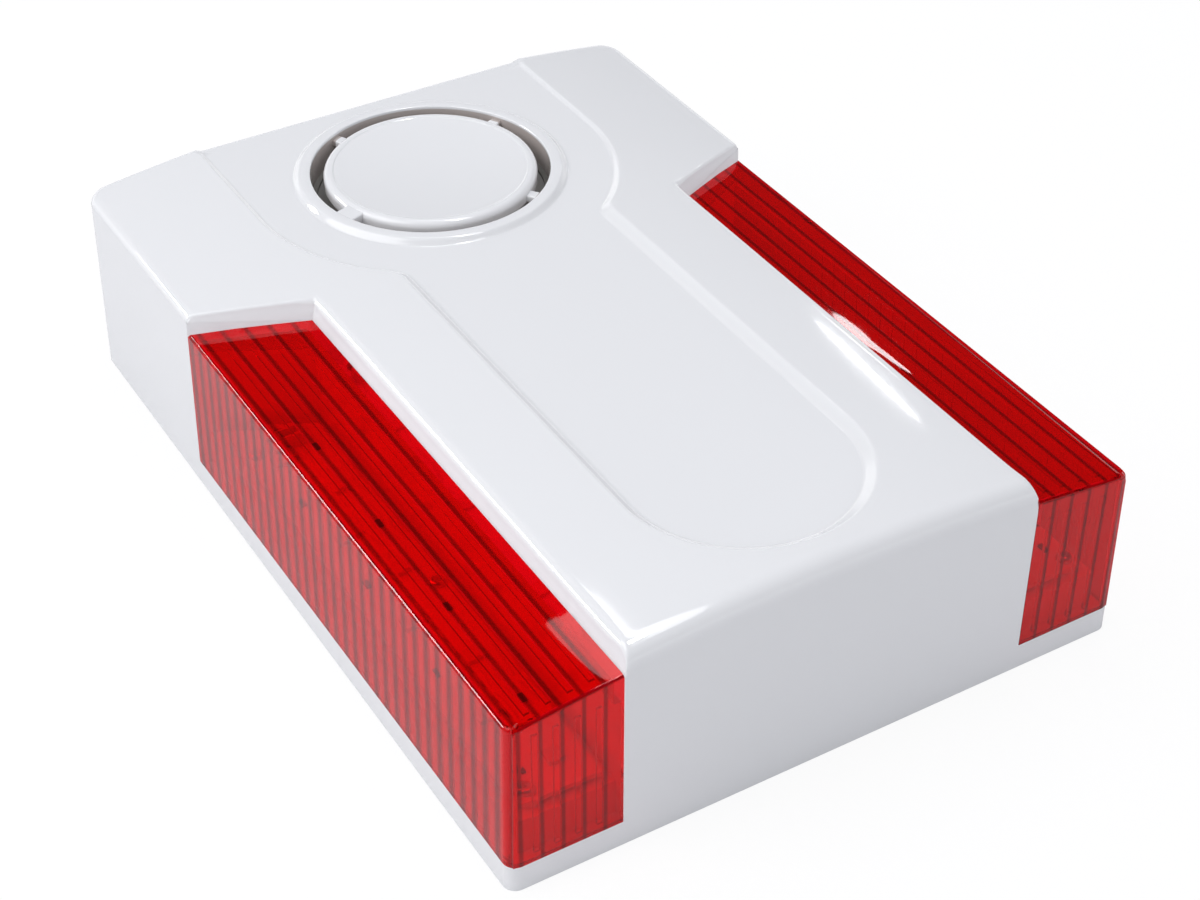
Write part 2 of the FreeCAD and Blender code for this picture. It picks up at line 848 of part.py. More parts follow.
def sounder_screws():
    """Four screws up through the horn's ears into the cover."""
    shapes = []
    seat = flange_z - horn_flange_thickness
    for turn in range(4):
        angle = math.radians(ear_angle + 90.0 * turn)
        screw = board_screw(0, 0, 0, board_screw_length)
        screw.rotate(V(0, 0, 0), V(1, 0, 0), 180)
        x = ear_radius * math.cos(angle)
        y = speaker_y + ear_radius * math.sin(angle)
        screw.translate(V(x, y, seat))
        shapes.append(screw)
    return Part.makeCompound(shapes)


def main_board():
    """The circuit board on its four posts."""
    x = board_length / 2
    y = board_width / 2
    board = box(-x, x, board_y - y, board_y + y, board_z, board_top)
    for px, py in board_screw_places():
        board = board.cut(rod(px, py, 0, beyond, board_screw_radius + screw_hole_gap))
    return board


def board_chips():
    """Flat black integrated circuits on the board."""
    return Part.makeCompound([on_board(*chip) for chip in chips])


def on_board(x, y, long, wide, high):
    """A block that sits on the main board, placed from the board's centre."""
    return box(x - long / 2, x + long / 2, board_y + y - wide / 2, board_y + y + wide / 2,
               board_top, board_top + high)


def board_capacitors():
    """Three upright round capacitors."""
    cans = []
    for x, y, radius, high in capacitors:
        cans.append(turned([
            (0, board_top),
            (radius, board_top),
            (radius, board_top + high - capacitor_edge),
            (radius - capacitor_edge, board_top + high),
            (0, board_top + high),
        ], x, board_y + y))
    return Part.makeCompound(cans)


def coil_windows(reach):
    """The two openings in the transformer's frame, as far out from its core as asked."""
    half = coil_length / 2 - coil_side
    core = coil_core_width / 2
    y = board_y + coil_y
    low = board_top + coil_bar
    high = board_top + coil_height - coil_bar
    return [
        box(coil_x - half, coil_x + half, y + core, y + core + reach, low, high),
        box(coil_x - half, coil_x + half, y - core - reach, y - core, low, high),
    ]


def driver_coil():
    """The ferrite frame of the sounder's step-up transformer."""
    frame = on_board(coil_x, coil_y, coil_length, coil_width, coil_height)
    for window in coil_windows(coil_width):
        frame = frame.cut(window)
    return frame


def coil_winding():
    """The two faces of copper winding that show in the frame's windows."""
    radius = coil_height / 2 - coil_bar - coil_winding_gap
    start = V(coil_x - coil_length / 2, board_y + coil_y, board_top + coil_height / 2)
    winding = Part.makeCylinder(radius, coil_length, start, V(1, 0, 0))
    return Part.makeCompound([winding.common(window) for window in coil_windows(coil_width)])


def relay():
    """A sealed relay beside the terminals."""
    body = on_board(relay_x, relay_y, relay_length, relay_width, relay_height)
    return body.makeFillet(relay_edge, [e for e in body.Edges if e.CenterOfMass.z > board_top + relay_edge])


def terminal_y():
    """Centre line of the terminal row, from the board's centre."""
    return board_width / 2 - terminal_inset - terminal_width / 2


def terminal_places():
    """Where each terminal's screw stands along the row."""
    first = -terminal_pitch * (terminal_count - 1) / 2
    return [first + way * terminal_pitch for way in range(terminal_count)]


def terminal_block():
    """The row of screw terminals along the far edge of the board."""
    body = on_board(0, terminal_y(), terminal_pitch * terminal_count, terminal_width, terminal_height)
    y = board_y + terminal_y()
    top = board_top + terminal_height
    side = terminal_mouth_width / 2
    face = y + terminal_width / 2
    foot = board_top + terminal_mouth_foot
    for x in terminal_places():
        well = rod(x, y, top - terminal_well_depth, top + 1, terminal_screw_radius + screw_hole_gap)
        mouth = box(x - side, x + side, face - terminal_mouth_depth, face + 1,
                    foot, foot + terminal_mouth_height)
        body = body.cut(well).cut(mouth)
    return body


def terminal_screws():
    """The clamping screws inside the terminal block."""
    low = board_top + terminal_height - terminal_well_depth
    return Part.makeCompound([
        rod(x, board_y + terminal_y(), low, low + terminal_screw_height, terminal_screw_radius)
        for x in terminal_places()
    ])


def board_screws():
    """Four screws through the main board."""
    return Part.makeCompound([
        board_screw(x, y, board_top, board_screw_length) for x, y in board_screw_places()
    ])


def battery():
    """The sealed backup battery lying in its cradle."""
    near, far = battery_span()
    x = battery_length / 2
    z = plate_thickness + battery_gap
    top = z + battery_thickness
    body = box(-x, x, near, far, z, top)
    lid = far - battery_lid - battery_seam
    seam = box(-x - 1, x + 1, lid, lid + battery_seam, z - 1, top + 1)
    deep = battery_seam_depth
    core = box(-x + deep, x - deep, near, far, z + deep, top - deep)
    body = body.cut(seam.cut(core))
    middle = (near + lid) / 2
    long_edges = [edge for edge in body.Edges if abs(edge.CenterOfMass.y - middle) < 2.0]
    return body.makeFillet(battery_edge, long_edges)


def battery_terminals():
    """The two flat tabs on the far face of the battery."""
    near, far = battery_span()
    z = plate_thickness + battery_gap + battery_thickness * 0.7
    tabs = []
    for x in (-battery_tab_spread / 2, battery_tab_spread / 2):
        tabs.append(box(x - battery_tab_width / 2, x + battery_tab_width / 2, far, far + battery_tab_length,
                        z, z + battery_tab_thickness))
    return Part.makeCompound(tabs)


def battery_strap():
    """The folded metal strap over the battery."""
    near, far = battery_span()
    middle = (near + far) / 2
    top = plate_thickness + battery_gap + battery_thickness + battery_gap
    inner = battery_length / 2 + battery_gap + cradle_wall + battery_gap
    outer = inner + strap_foot
    seat = strap_seat()
    t = strap_thickness
    outline = [
        (-outer, seat), (-inner, seat), (-inner, top), (inner, top), (inner, seat), (outer, seat),
        (outer, seat + t), (inner + t, seat + t), (inner + t, top + t), (-inner - t, top + t),
        (-inner - t, seat + t), (-outer, seat + t),
    ]
    corners = [V(x, middle - strap_width / 2, z) for x, z in outline]
    strap = Part.Face(Part.makePolygon(corners + corners[:1])).extrude(V(0, strap_width, 0))
    for x, y in strap_screw_places():
        strap = strap.cut(rod(x, y, 0, beyond, board_screw_radius + screw_hole_gap))
    return strap


def strap_screws():
    """The two screws of the battery strap."""
    seat = strap_seat() + strap_thickness
    return Part.makeCompound([
        board_screw(x, y, seat, board_screw_length) for x, y in strap_screw_places()
    ])


def led_board():
    """The right light board, cut to the slant of its pocket."""
    inner, outer, near, far = led_board_span()
    slant = (outer - inner) * far_slope
    board = prism([(inner, near), (outer, near), (outer, far + slant), (inner, far)],
                  led_board_z, led_board_top)
    for x, y in led_screw_places():
        board = board.cut(rod(x, y, 0, beyond, board_screw_radius + screw_hole_gap))
    x, y = led_wire_place()
    return board.cut(rod(x, y, 0, beyond, led_wire_hole_radius))


def led_places():
    """Centres of the lamps along the right light board."""
    inner, outer, near, far = led_board_span()
    middle = (inner + outer) / 2
    step = (far - near) / led_count
    return [
        (middle + (led_stagger if i % 2 else -led_stagger), near + (i + 0.5) * step)
        for i in range(led_count)
    ]


def led_lamps():
    """Square lamps in a staggered row on the right light board."""
    h = led_size / 2
    return Part.makeCompound([
        box(x - h, x + h, y - h, y + h, led_board_top, led_board_top + led_height)
        for x, y in led_places()
    ])


def led_parts():
    """A small resistor beside each lamp on the right light board."""
    inner, outer, near, far = led_board_span()
    middle = (inner + outer) / 2
    parts = []
    for x, y in led_places():
        side = -1 if x > middle else 1
        beside = middle + side * led_part_offset
        parts.append(box(beside - led_part_width / 2, beside + led_part_width / 2, y - led_part_length / 2,
                         y + led_part_length / 2, led_board_top, led_board_top + led_part_height))
    return Part.makeCompound(parts)


def led_plug():
    """The wire connector at the far end of the right light board."""
    x, y = led_wire_place()
    y -= led_wire_hole_radius + led_plug_width + led_plug_gap
    half = led_plug_length / 2
    wall = led_plug_wall
    body = box(x - half, x + half, y, y + led_plug_width, led_board_top, led_board_top + led_plug_height)
    well = box(x - half + wall, x + half - wall, y + wall, y + led_plug_width - wall,
               led_board_top + wall, beyond)
    return body.cut(well)


def led_screws():
    """Three screws of the right light board."""
    return Part.makeCompound([
        board_screw(x, y, led_board_top, led_screw_length) for x, y in led_screw_places()
    ])


def grommet():
    """The rubber bush in the cable entry, open for the cable."""
    seat = plate_thickness + grommet_lip
    hole = grommet_bore_radius
    body = entry_radius - grommet_gap
    top = seat + grommet_wall + grommet_neck
    return turned([
        (hole, grommet_recess),
        (body, grommet_recess),
        (body, seat),
        (entry_radius + grommet_flange, seat),
        (entry_radius + grommet_flange, seat + grommet_wall),
        (hole + 1.5 * grommet_wall, top),
        (hole, top),
    ], 0, entry_y)


def plunger_shoulder():
    """Level of the underside of the plunger's flange while the wall holds it in."""
    return plate_thickness + plunger_travel + flange_stop_gap


def tamper_plunger():
    """The plunger that the wall holds in, flush with the back face."""
    shoulder = plunger_shoulder()
    top = board_z - switch_height - switch_gap
    return turned([
        (0, 0),
        (plunger_radius - 0.5, 0),
        ((plunger_radius - 0.15, 0.15), (plunger_radius, 0.5)),
        (plunger_radius, shoulder),
        (flange_radius, shoulder),
        (flange_radius, shoulder + flange_thickness),
        (plunger_tip_radius, shoulder + flange_thickness),
        (plunger_tip_radius, top),
        (0, top),
    ], tamper_x, tamper_y)


def tamper_switch():
    """The small switch under the board that the plunger presses."""
    h = switch_size / 2
    return box(tamper_x - h, tamper_x + h, tamper_y - h, tamper_y + h, board_z - switch_height, board_z)


def tamper_spring():
    """The coil spring between the plunger's flange and the board."""
    bottom = plunger_shoulder() + flange_thickness
    rise = board_z - bottom - 2 * spring_wire
    helix = Part.makeHelix(rise / spring_turns, rise, spring_radius)
    start = helix.Vertexes[0].Point
    section = Part.Wire(Part.makeCircle(spring_wire / 2, start, V(0, 1, 0)))
    coil = Part.Wire(helix.Edges).makePipeShell([section], True, True)
    coil.translate(V(tamper_x, tamper_y, bottom + spring_wire))
    return coil


def save(name, shape):
    """Write one node and say what it holds."""
    shape.exportStep("parts/" + name + ".step")
    print(name, len(shape.Solids), "solids", round(shape.Volume / 1000, 2), "cm3", shape.isValid())


def main():
    """Build every piece and write it."""
    os.makedirs("parts", exist_ok=True)
    save("front_cover", front_cover())
    right = {
        "lens": lens(),
        "led_board": led_board(),
        "led_lamps": led_lamps(),
        "led_resistors": led_parts(),
        "led_plug": led_plug(),
        "led_board_screws": led_screws(),
    }
    for name, shape in right.items():
        save(name + "_right", shape)
        save(name + "_left", mirrored(shape))
    save("back_plate", back_plate())
    save("cable_grommet", grommet())
    save("cover_screws", cover_screws())
    save("sounder_gasket", gasket())
    save("sounder_horn", horn())
    save("sounder_capsule", capsule())
    save("sounder_screws", sounder_screws())
    save("main_board", main_board())
    save("board_chips", board_chips())
    save("board_capacitors", board_capacitors())
    save("driver_coil_frame", driver_coil())
    save("driver_coil_winding", coil_winding())
    save("relay", relay())
    save("terminal_block", terminal_block())
    save("terminal_screws", terminal_screws())
    save("board_screws", board_screws())
    save("battery", battery())
    save("battery_terminals", battery_terminals())
    save("battery_strap", battery_strap())
    save("strap_screws", strap_screws())
    save("tamper_plunger", tamper_plunger())
    save("tamper_spring", tamper_spring())
    save("tamper_switch", tamper_switch())


main()
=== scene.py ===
"""An outdoor alarm siren lying on a white table.

The fixed frame brings the solids. The classes below lay the visible surfaces
over them: the glossy cover with its keyhole recess, the speaker opening, the
ribbed red lenses, and the finishes of every inner piece.
"""

import json
import logging
import math
from dataclasses import dataclass, field
from enum import Enum

import bpy
import numpy as np
from mathutils import Matrix, Quaternion, Vector


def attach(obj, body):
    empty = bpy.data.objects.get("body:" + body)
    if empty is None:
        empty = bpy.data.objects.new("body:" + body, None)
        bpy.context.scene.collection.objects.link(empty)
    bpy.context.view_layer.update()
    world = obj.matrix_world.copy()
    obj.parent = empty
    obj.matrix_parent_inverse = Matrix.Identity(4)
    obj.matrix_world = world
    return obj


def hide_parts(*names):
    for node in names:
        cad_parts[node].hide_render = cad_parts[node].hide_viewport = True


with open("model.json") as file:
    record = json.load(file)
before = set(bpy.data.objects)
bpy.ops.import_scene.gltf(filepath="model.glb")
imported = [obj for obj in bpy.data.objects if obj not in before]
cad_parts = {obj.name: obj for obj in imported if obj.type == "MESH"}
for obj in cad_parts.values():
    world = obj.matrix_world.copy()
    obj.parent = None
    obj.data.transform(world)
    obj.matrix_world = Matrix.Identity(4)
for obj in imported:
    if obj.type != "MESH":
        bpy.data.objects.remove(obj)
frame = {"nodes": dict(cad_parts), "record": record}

MM = 0.001
BODY = "siren"
log = logging.getLogger("siren")

Colour = tuple[float, float, float]
Array = np.ndarray


# Shader arithmetic


class Wire:
    """A shader socket that can be used in plain Python arithmetic."""

    def __init__(self, shade: "Shade", socket: bpy.types.NodeSocket) -> None:
        """Wrap one output socket of a shade's node tree."""
        self.shade = shade
        self.socket = socket

    def _math(self, operation: str, *values: "Wire | float") -> "Wire":
        """Add a Math node.

        Args:
            operation: the node's operation, such as "ADD".
            values: its inputs in order.

        Returns:
            The node's result.
        """
        inputs = dict(enumerate(values))
        node = self.shade.node("ShaderNodeMath", {"operation": operation}, inputs)
        return Wire(self.shade, node.outputs[0])

    def __add__(self, other: "Wire | float") -> "Wire":
        """Sum."""
        return self._math("ADD", self, other)

    def __radd__(self, other: float) -> "Wire":
        """Sum, with the number first."""
        return self._math("ADD", other, self)

    def __sub__(self, other: "Wire | float") -> "Wire":
        """Difference."""
        return self._math("SUBTRACT", self, other)

    def __rsub__(self, other: float) -> "Wire":
        """Difference from a number."""
        return self._math("SUBTRACT", other, self)

    def __mul__(self, other: "Wire | float") -> "Wire":
        """Product."""
        return self._math("MULTIPLY", self, other)

    def __rmul__(self, other: float) -> "Wire":
        """Product, with the number first."""
        return self._math("MULTIPLY", other, self)

    def __truediv__(self, other: "Wire | float") -> "Wire":
        """Quotient."""
        return self._math("DIVIDE", self, other)

    def __pow__(self, other: "Wire | float") -> "Wire":
        """Power."""
        return self._math("POWER", self, other)

    def size(self) -> "Wire":
        """The value without its sign."""
        return self._math("ABSOLUTE", self)

    def larger(self, other: "Wire | float") -> "Wire":
        """The larger of two values."""
        return self._math("MAXIMUM", self, other)

    def wrapped(self, pitch: float) -> "Wire":
        """The distance to the nearest whole multiple of a pitch."""
        return self._math("PINGPONG", self, pitch / 2)

    def step(self, low: float, high: float) -> "Wire":
        """A smooth rise from 0 at one value to 1 at another."""
        node = self.shade.node(
            "ShaderNodeMapRange",
            {"interpolation_type": "SMOOTHSTEP"},
            {"Value": self, "From Min": low, "From Max": high},
        )
        return Wire(self.shade, node.outputs[0])


class Shade:
    """The node tree of one material or world."""

    def __init__(self, name: str, owner: bpy.types.World | None = None) -> None:
        """Start an empty tree.

        Args:
            name: the new material's name.
            owner: a world to use in a material's place.
        """
        self.material = owner or bpy.data.materials.new(name)
        self.material.use_nodes = True
        self.tree = self.material.node_tree
        self.tree.nodes.clear()

    def node(
        self,
        kind: str,
        settings: dict[str, object] | None = None,
        inputs: dict[int | str, object] | None = None,
    ) -> bpy.types.Node:
        """Add a node.

        Args:
            kind: the node's type name.
            settings: its own settings, set before its inputs. "stops" holds a
                ramp's positions and colours.
            inputs: a value or a Wire for each input, by name or place.

        Returns:
            The new node.
        """
        made = self.tree.nodes.new(kind)
        for key, value in (settings or {}).items():
            if key == "stops":
                ramp = made.color_ramp
                while len(ramp.elements) < len(value):
                    ramp.elements.new(0.5)
                for element, (place, colour) in zip(ramp.elements, value):
                    element.position = place
                    element.color = (*colour, 1.0)
            else:
                setattr(made, key, value)
        for key, value in (inputs or {}).items():
            if isinstance(value, Wire):
                self.tree.links.new(value.socket, made.inputs[key])
            else:
                made.inputs[key].default_value = value
        return made

    def place(self) -> Wire:
        """Object coordinates, in metres."""
        return Wire(self, self.node("ShaderNodeTexCoord").outputs["Object"])

    def axes(self) -> tuple[Wire, Wire, Wire]:
        """The x, y and z of the object coordinates."""
        split = self.node("ShaderNodeSeparateXYZ", None, {0: self.place()})
        return tuple(Wire(self, split.outputs[i]) for i in range(3))

    def noise(self, scale: float, detail: float = 2.0, stretch: Colour = (1.0, 1.0, 1.0)) -> Wire:
        """A cloudy pattern from 0 to 1.

        Args:
            scale: patches per metre.
            detail: octaves of finer noise.
            stretch: how many times finer it is along x, y and z.

        Returns:
            The pattern's value.
        """
        vector = self.node("ShaderNodeMapping", None, {"Vector": self.place(), "Scale": stretch})
        made = self.node(
            "ShaderNodeTexNoise", None,
            {"Vector": Wire(self, vector.outputs[0]), "Scale": scale, "Detail": detail},
        )
        return Wire(self, made.outputs[0])

    def cells(self, scale: float) -> Wire:
        """Distance to the nearest of many scattered points, in cells."""
        made = self.node("ShaderNodeTexVoronoi", None, {"Vector": self.place(), "Scale": scale})
        return Wire(self, made.outputs["Distance"])

    def blend(self, factor: Wire, first: Colour | Wire, second: Colour | Wire) -> Wire:
        """A colour between two.

        Args:
            factor: 0 gives the first and 1 the second.
            first: a colour or a wire that carries one.
            second: the same.

        Returns:
            The mixed colour.
        """
        colours = [value if isinstance(value, Wire) else (*value, 1.0) for value in (first, second)]
        made = self.node(
            "ShaderNodeMix", {"data_type": "RGBA"}, {0: factor, 6: colours[0], 7: colours[1]}
        )
        return Wire(self, made.outputs[2])

    def bump(self, height: Wire, distance: float, strength: float = 1.0) -> Wire:
        """A normal tilted by a height pattern.

        Args:
            height: the pattern, from 0 to 1.
            distance: how far 1 stands over 0, in metres.
            strength: the share of the effect.

        Returns:
            The tilted normal.
        """
        made = self.node(
            "ShaderNodeBump", None, {"Height": height, "Distance": distance, "Strength": strength}
        )
        return Wire(self, made.outputs[0])

    def surface(self, **inputs: object) -> bpy.types.Material:
        """Close the tree with a Principled shader.

        Args:
            inputs: its sockets, with _ for each space in their names.

        Returns:
            The finished material.
        """
        sockets = {key.replace("_", " "): value for key, value in inputs.items()}
        for key in ("Base Color", "Emission Color"):
            if key in sockets and not isinstance(sockets[key], Wire):
                sockets[key] = (*sockets[key], 1.0)
        return self.finish(self.node("ShaderNodeBsdfPrincipled", None, sockets))

    def finish(self, shader: bpy.types.Node, output: str = "ShaderNodeOutputMaterial") -> bpy.types.Material:
        """Close the tree with a shader's first output."""
        self.node(output, None, {"Surface": Wire(self, shader.outputs[0])})
        return self.material


# Finishes


class Grain(Enum):
    """How a moulded surface is textured: patches per metre and depth in metres."""

    POLISHED = (260.0, 0.000008)
    SATIN = (1400.0, 0.000012)
    SPARKED = (2600.0, 0.00004)
    FOAM = (900.0, 0.0003)


def scaled(colour: Colour, factor: float) -> Colour:
    """A colour made lighter or darker."""
    return tuple(min(1.0, part * factor) for part in colour)


@dataclass(frozen=True)
class Moulding:
    """Moulded plastic or rubber with a mottled colour, uneven gloss and grain."""

    name: str
    colour: Colour
    roughness: float
    grain: Grain = Grain.SATIN
    mottle: float = 0.03
    coat: float = 0.0

    def tinted(self, shade: Shade) -> Wire:
        """The mottled colour."""
        cloud = shade.noise(22.0, 3.0)
        dark, light = (scaled(self.colour, 1.0 + share) for share in (-self.mottle, self.mottle))
        return shade.blend(cloud, dark, light)

    def material(self) -> bpy.types.Material:
        """Build the material."""
        shade = Shade(self.name)
        tint = self.tinted(shade)
        scale, depth = self.grain.value
        grain = shade.noise(scale, 2.0)
        gloss = self.roughness * (0.88 + 0.24 * shade.noise(60.0, 4.0))
        return shade.surface(
            Base_Color=tint, Roughness=gloss, Coat_Weight=self.coat, Coat_Roughness=0.03,
            Normal=shade.bump(grain, depth),
        )


@dataclass(frozen=True)
class CoverMoulding(Moulding):
    """The cover's plastic, with painted shade on the wall of the slot round the speaker's disc."""

    # Painted shade: the darker colour laid on the slot's wall, where shade falls.
    slot_shade: Colour = (0.50, 0.445, 0.42)
    speaker_y: float = 0.0915
    inner: float = 0.0390
    outer: float = 0.0412
    top: float = 0.0703
    blur: float = 0.0002
    top_blur: float = 0.0006

    def tinted(self, shade: Shade) -> Wire:
        """The mottled colour, and a painted shade between two radii and under a height."""
        x, y, z = shade.axes()
        along = y - self.speaker_y
        reach = (x * x + along * along) ** 0.5
        # Painted shade: mask of the slot's wall, which takes the darker colour.
        slot = reach.step(self.inner - self.blur, self.inner)
        slot = slot * (1.0 - reach.step(self.outer, self.outer + self.blur))
        slot = slot * (1.0 - z.step(self.top - self.top_blur, self.top))
        return shade.blend(slot, super().tinted(shade), self.slot_shade)


@dataclass(frozen=True)
class Metal:
    """Plated or drawn metal with fine streaks."""

    name: str
    colour: Colour
    roughness: float
    streaks: Colour = (1.0, 1.0, 14.0)

    def material(self) -> bpy.types.Material:
        """Build the material."""
        shade = Shade(self.name)
        streak = shade.noise(420.0, 3.0, self.streaks)
        tint = shade.blend(shade.noise(150.0), scaled(self.colour, 0.86), scaled(self.colour, 1.08))
        return shade.surface(
            Base_Color=tint, Metallic=1.0, Roughness=self.roughness * (0.75 + 0.5 * streak),
            Normal=shade.bump(streak, 0.00001),
        )


@dataclass(frozen=True)
class BoardFinish:
    """A printed board: lacquer over copper tracks, which stand out faintly."""

    name: str
    lacquer: Colour
    track: Colour
    pitch: float = 0.0025

    def material(self) -> bpy.types.Material:
        """Build the material."""
        shade = Shade(self.name)
        x, y, _ = shade.axes()
        bends = shade.noise(90.0, 0.0)
        rows = (x + 0.004 * bends).wrapped(self.pitch).step(self.pitch * 0.30, self.pitch * 0.36)
        gaps = (y + 0.010 * shade.noise(60.0, 1.0)).wrapped(self.pitch * 9).step(0.001, 0.0014)
        tracks = rows * gaps * shade.noise(35.0, 0.0).step(0.47, 0.49)
        tint = shade.blend(tracks, self.lacquer, self.track)
        return shade.surface(
            Base_Color=tint, Roughness=0.28 + 0.10 * shade.noise(220.0, 3.0),
            Normal=shade.bump(tracks, 0.00004),
        )


@dataclass(frozen=True)
class LensFinish:
    """Clear coloured plastic, deeper in colour along its ribs, where it is thicker, and more so as painted
    shade for the dark bands bent light makes there; its rounded edges carry a painted dark line.

    Shadow, diffuse and glossy rays pass with a faint tint only, so the inside
    is lit and the white cover beside the lens stays white.
    """

    name: str
    colour: Colour
    # Painted shade: the colour laid on the ribs and the rounded edges.
    deep: Colour
    veil: Colour = (0.99, 0.94, 0.945)
    roughness: float = 0.02
    clear: float = 0.88
    bend: float = 1.36
    pitch: float = 0.0065
    first_x: float = 0.0741
    first_y: float = -0.1386
    half_top: float = 0.0007
    half_near: float = 0.00065
    half_side: float = 0.0015
    # Share of painted shade along the rounded edges between the dashes at the rib ends.
    edge_shade_share: float = 0.35

    def rib(self, along: Wire, first: float, half: float) -> Wire:
        """1 on the ribs that repeat along one direction, and 0 between them."""
        return 1.0 - (along - first).wrapped(self.pitch).step(half * 0.4, half * 1.6)

    def material(self) -> bpy.types.Material:
        """Build the material: plastic to the camera, a faint tint to the light."""
        shade = Shade(self.name)
        x, y, _ = shade.axes()
        facing = shade.node("ShaderNodeSeparateXYZ", None, {
            0: Wire(shade, shade.node("ShaderNodeNewGeometry").outputs["Normal"]),
        })
        tilts = [Wire(shade, facing.outputs[i]).size() for i in range(3)]
        side, end, top = (tilt.step(0.6, 0.8) for tilt in tilts)
        # Painted shade: the rounded edges take the deep colour as a dark line.
        edge = 1.0 - tilts[0].larger(tilts[1]).larger(tilts[2]).step(0.90, 0.985)
        path = shade.node("ShaderNodeLightPath")
        camera, shadow, diffuse, glossy, through = (
            Wire(shade, path.outputs[f"Is {kind} Ray"])
            for kind in ("Camera", "Shadow", "Diffuse", "Glossy", "Transmission")
        )
        # Painted shade: the deep colour on ribs and edges is laid on for camera rays only.
        ribs = (
            self.rib(x.size(), self.first_x, self.half_top) * top
            + self.rib(x.size(), self.first_x, self.half_near) * end
            + self.rib(y, self.first_y, self.half_side) * side
        )
        edge_shade = self.edge_shade_share + (1.0 - self.edge_shade_share) * self.rib(y, self.first_y, self.half_side)
        ribs = ribs + edge * (edge_shade - ribs)
        cloud = shade.blend(shade.noise(45.0, 3.0), scaled(self.colour, 0.93), scaled(self.colour, 1.02))
        plastic = shade.node("ShaderNodeBsdfPrincipled", None, {
            "Base Color": shade.blend(ribs * camera, cloud, self.deep),
            "Roughness": self.roughness * (0.7 + 0.6 * shade.noise(160.0, 3.0)),
            "Transmission Weight": self.clear, "IOR": self.bend,
            "Normal": shade.bump(shade.noise(32.0, 2.0, (1.0, 0.35, 1.0)), 0.00035),
        })
        veil = shade.node("ShaderNodeBsdfTransparent", None, {"Color": (*self.veil, 1.0)})
        return shade.finish(shade.node("ShaderNodeMixShader", None, {
            0: shadow + (diffuse + glossy) * (1.0 - through),
            1: Wire(shade, plastic.outputs[0]), 2: Wire(shade, veil.outputs[0]),
        }))


class Finishes:
    """Every finish of the siren, by the record's slot names."""

    def __init__(self) -> None:
        """Build each material once."""
        kinds = {
            "cover_white": CoverMoulding(
                "cover_white", (0.835, 0.842, 0.858), 0.07, Grain.POLISHED, 0.006, 0.6
            ),
            # The lens's second colour is painted shade for its ribs and rounded edges.
            "lens_red": LensFinish("lens_red", (0.79, 0.0, 0.00003), (0.18, 0.0, 0.00001)),
            "base_white": Moulding("base_white", (0.74, 0.745, 0.76), 0.42, Grain.SPARKED, 0.02),
            "grommet_rubber": Moulding("grommet_rubber", (0.035, 0.035, 0.038), 0.65, Grain.SPARKED, 0.12),
            "gasket_foam": Moulding("gasket_foam", (0.30, 0.29, 0.27), 0.85, Grain.FOAM, 0.12),
            "horn_grey": Moulding("horn_grey", (0.50, 0.49, 0.47), 0.45, Grain.SATIN, 0.04),
            "capsule_black": Moulding("capsule_black", (0.03, 0.03, 0.033), 0.40, Grain.SATIN, 0.10),
            "zinc_screw": Metal("zinc_screw", (0.72, 0.73, 0.75), 0.30),
            "board_green": BoardFinish("board_green", (0.012, 0.14, 0.045), (0.03, 0.25, 0.09)),
            "board_white": BoardFinish("board_white", (0.82, 0.82, 0.80), (0.70, 0.69, 0.66)),
            "lamp_clear": Moulding("lamp_clear", (0.75, 0.70, 0.45), 0.20, Grain.POLISHED, 0.15, 0.5),
            "part_black": Moulding("part_black", (0.03, 0.03, 0.03), 0.40, Grain.SATIN, 0.15),
            "plug_white": Moulding("plug_white", (0.70, 0.67, 0.60), 0.40, Grain.SATIN, 0.04),
            "capacitor_sleeve": Moulding(
                "capacitor_sleeve", (0.02, 0.03, 0.08), 0.25, Grain.POLISHED, 0.10, 0.3
            ),
            "ferrite": Moulding("ferrite", (0.06, 0.06, 0.065), 0.55, Grain.SPARKED, 0.15),
            "copper_wire": Metal("copper_wire", (0.72, 0.30, 0.12), 0.30, (16.0, 1.0, 1.0)),
            "relay_case": Moulding("relay_case", (0.02, 0.08, 0.30), 0.30, Grain.POLISHED, 0.06),
            "terminal_green": Moulding("terminal_green", (0.02, 0.25, 0.09), 0.45, Grain.SATIN, 0.06),
            "battery_case": Moulding("battery_case", (0.05, 0.053, 0.058), 0.50, Grain.SPARKED, 0.10),
            "tab_steel": Metal("tab_steel", (0.70, 0.69, 0.66), 0.30),
            "strap_steel": Metal("strap_steel", (0.62, 0.63, 0.64), 0.38, (14.0, 1.0, 1.0)),
            "plunger_white": Moulding("plunger_white", (0.74, 0.74, 0.72), 0.35, Grain.SATIN, 0.03),
            "spring_steel": Metal("spring_steel", (0.60, 0.60, 0.60), 0.25),
        }
        self.materials = {slot: kind.material() for slot, kind in kinds.items()}

    def dress_nodes(self) -> None:
        """Give each node of the frame the finish of its slot."""
        slots = {part["node"]: part["material_slot"] for part in frame["record"]["subparts"]}
        for name, node in frame["nodes"].items():
            node.data.materials.clear()
            node.data.materials.append(self.materials[slots[name]])
        log.info("dressed %d nodes of the frame", len(slots))


# Meshes from arrays


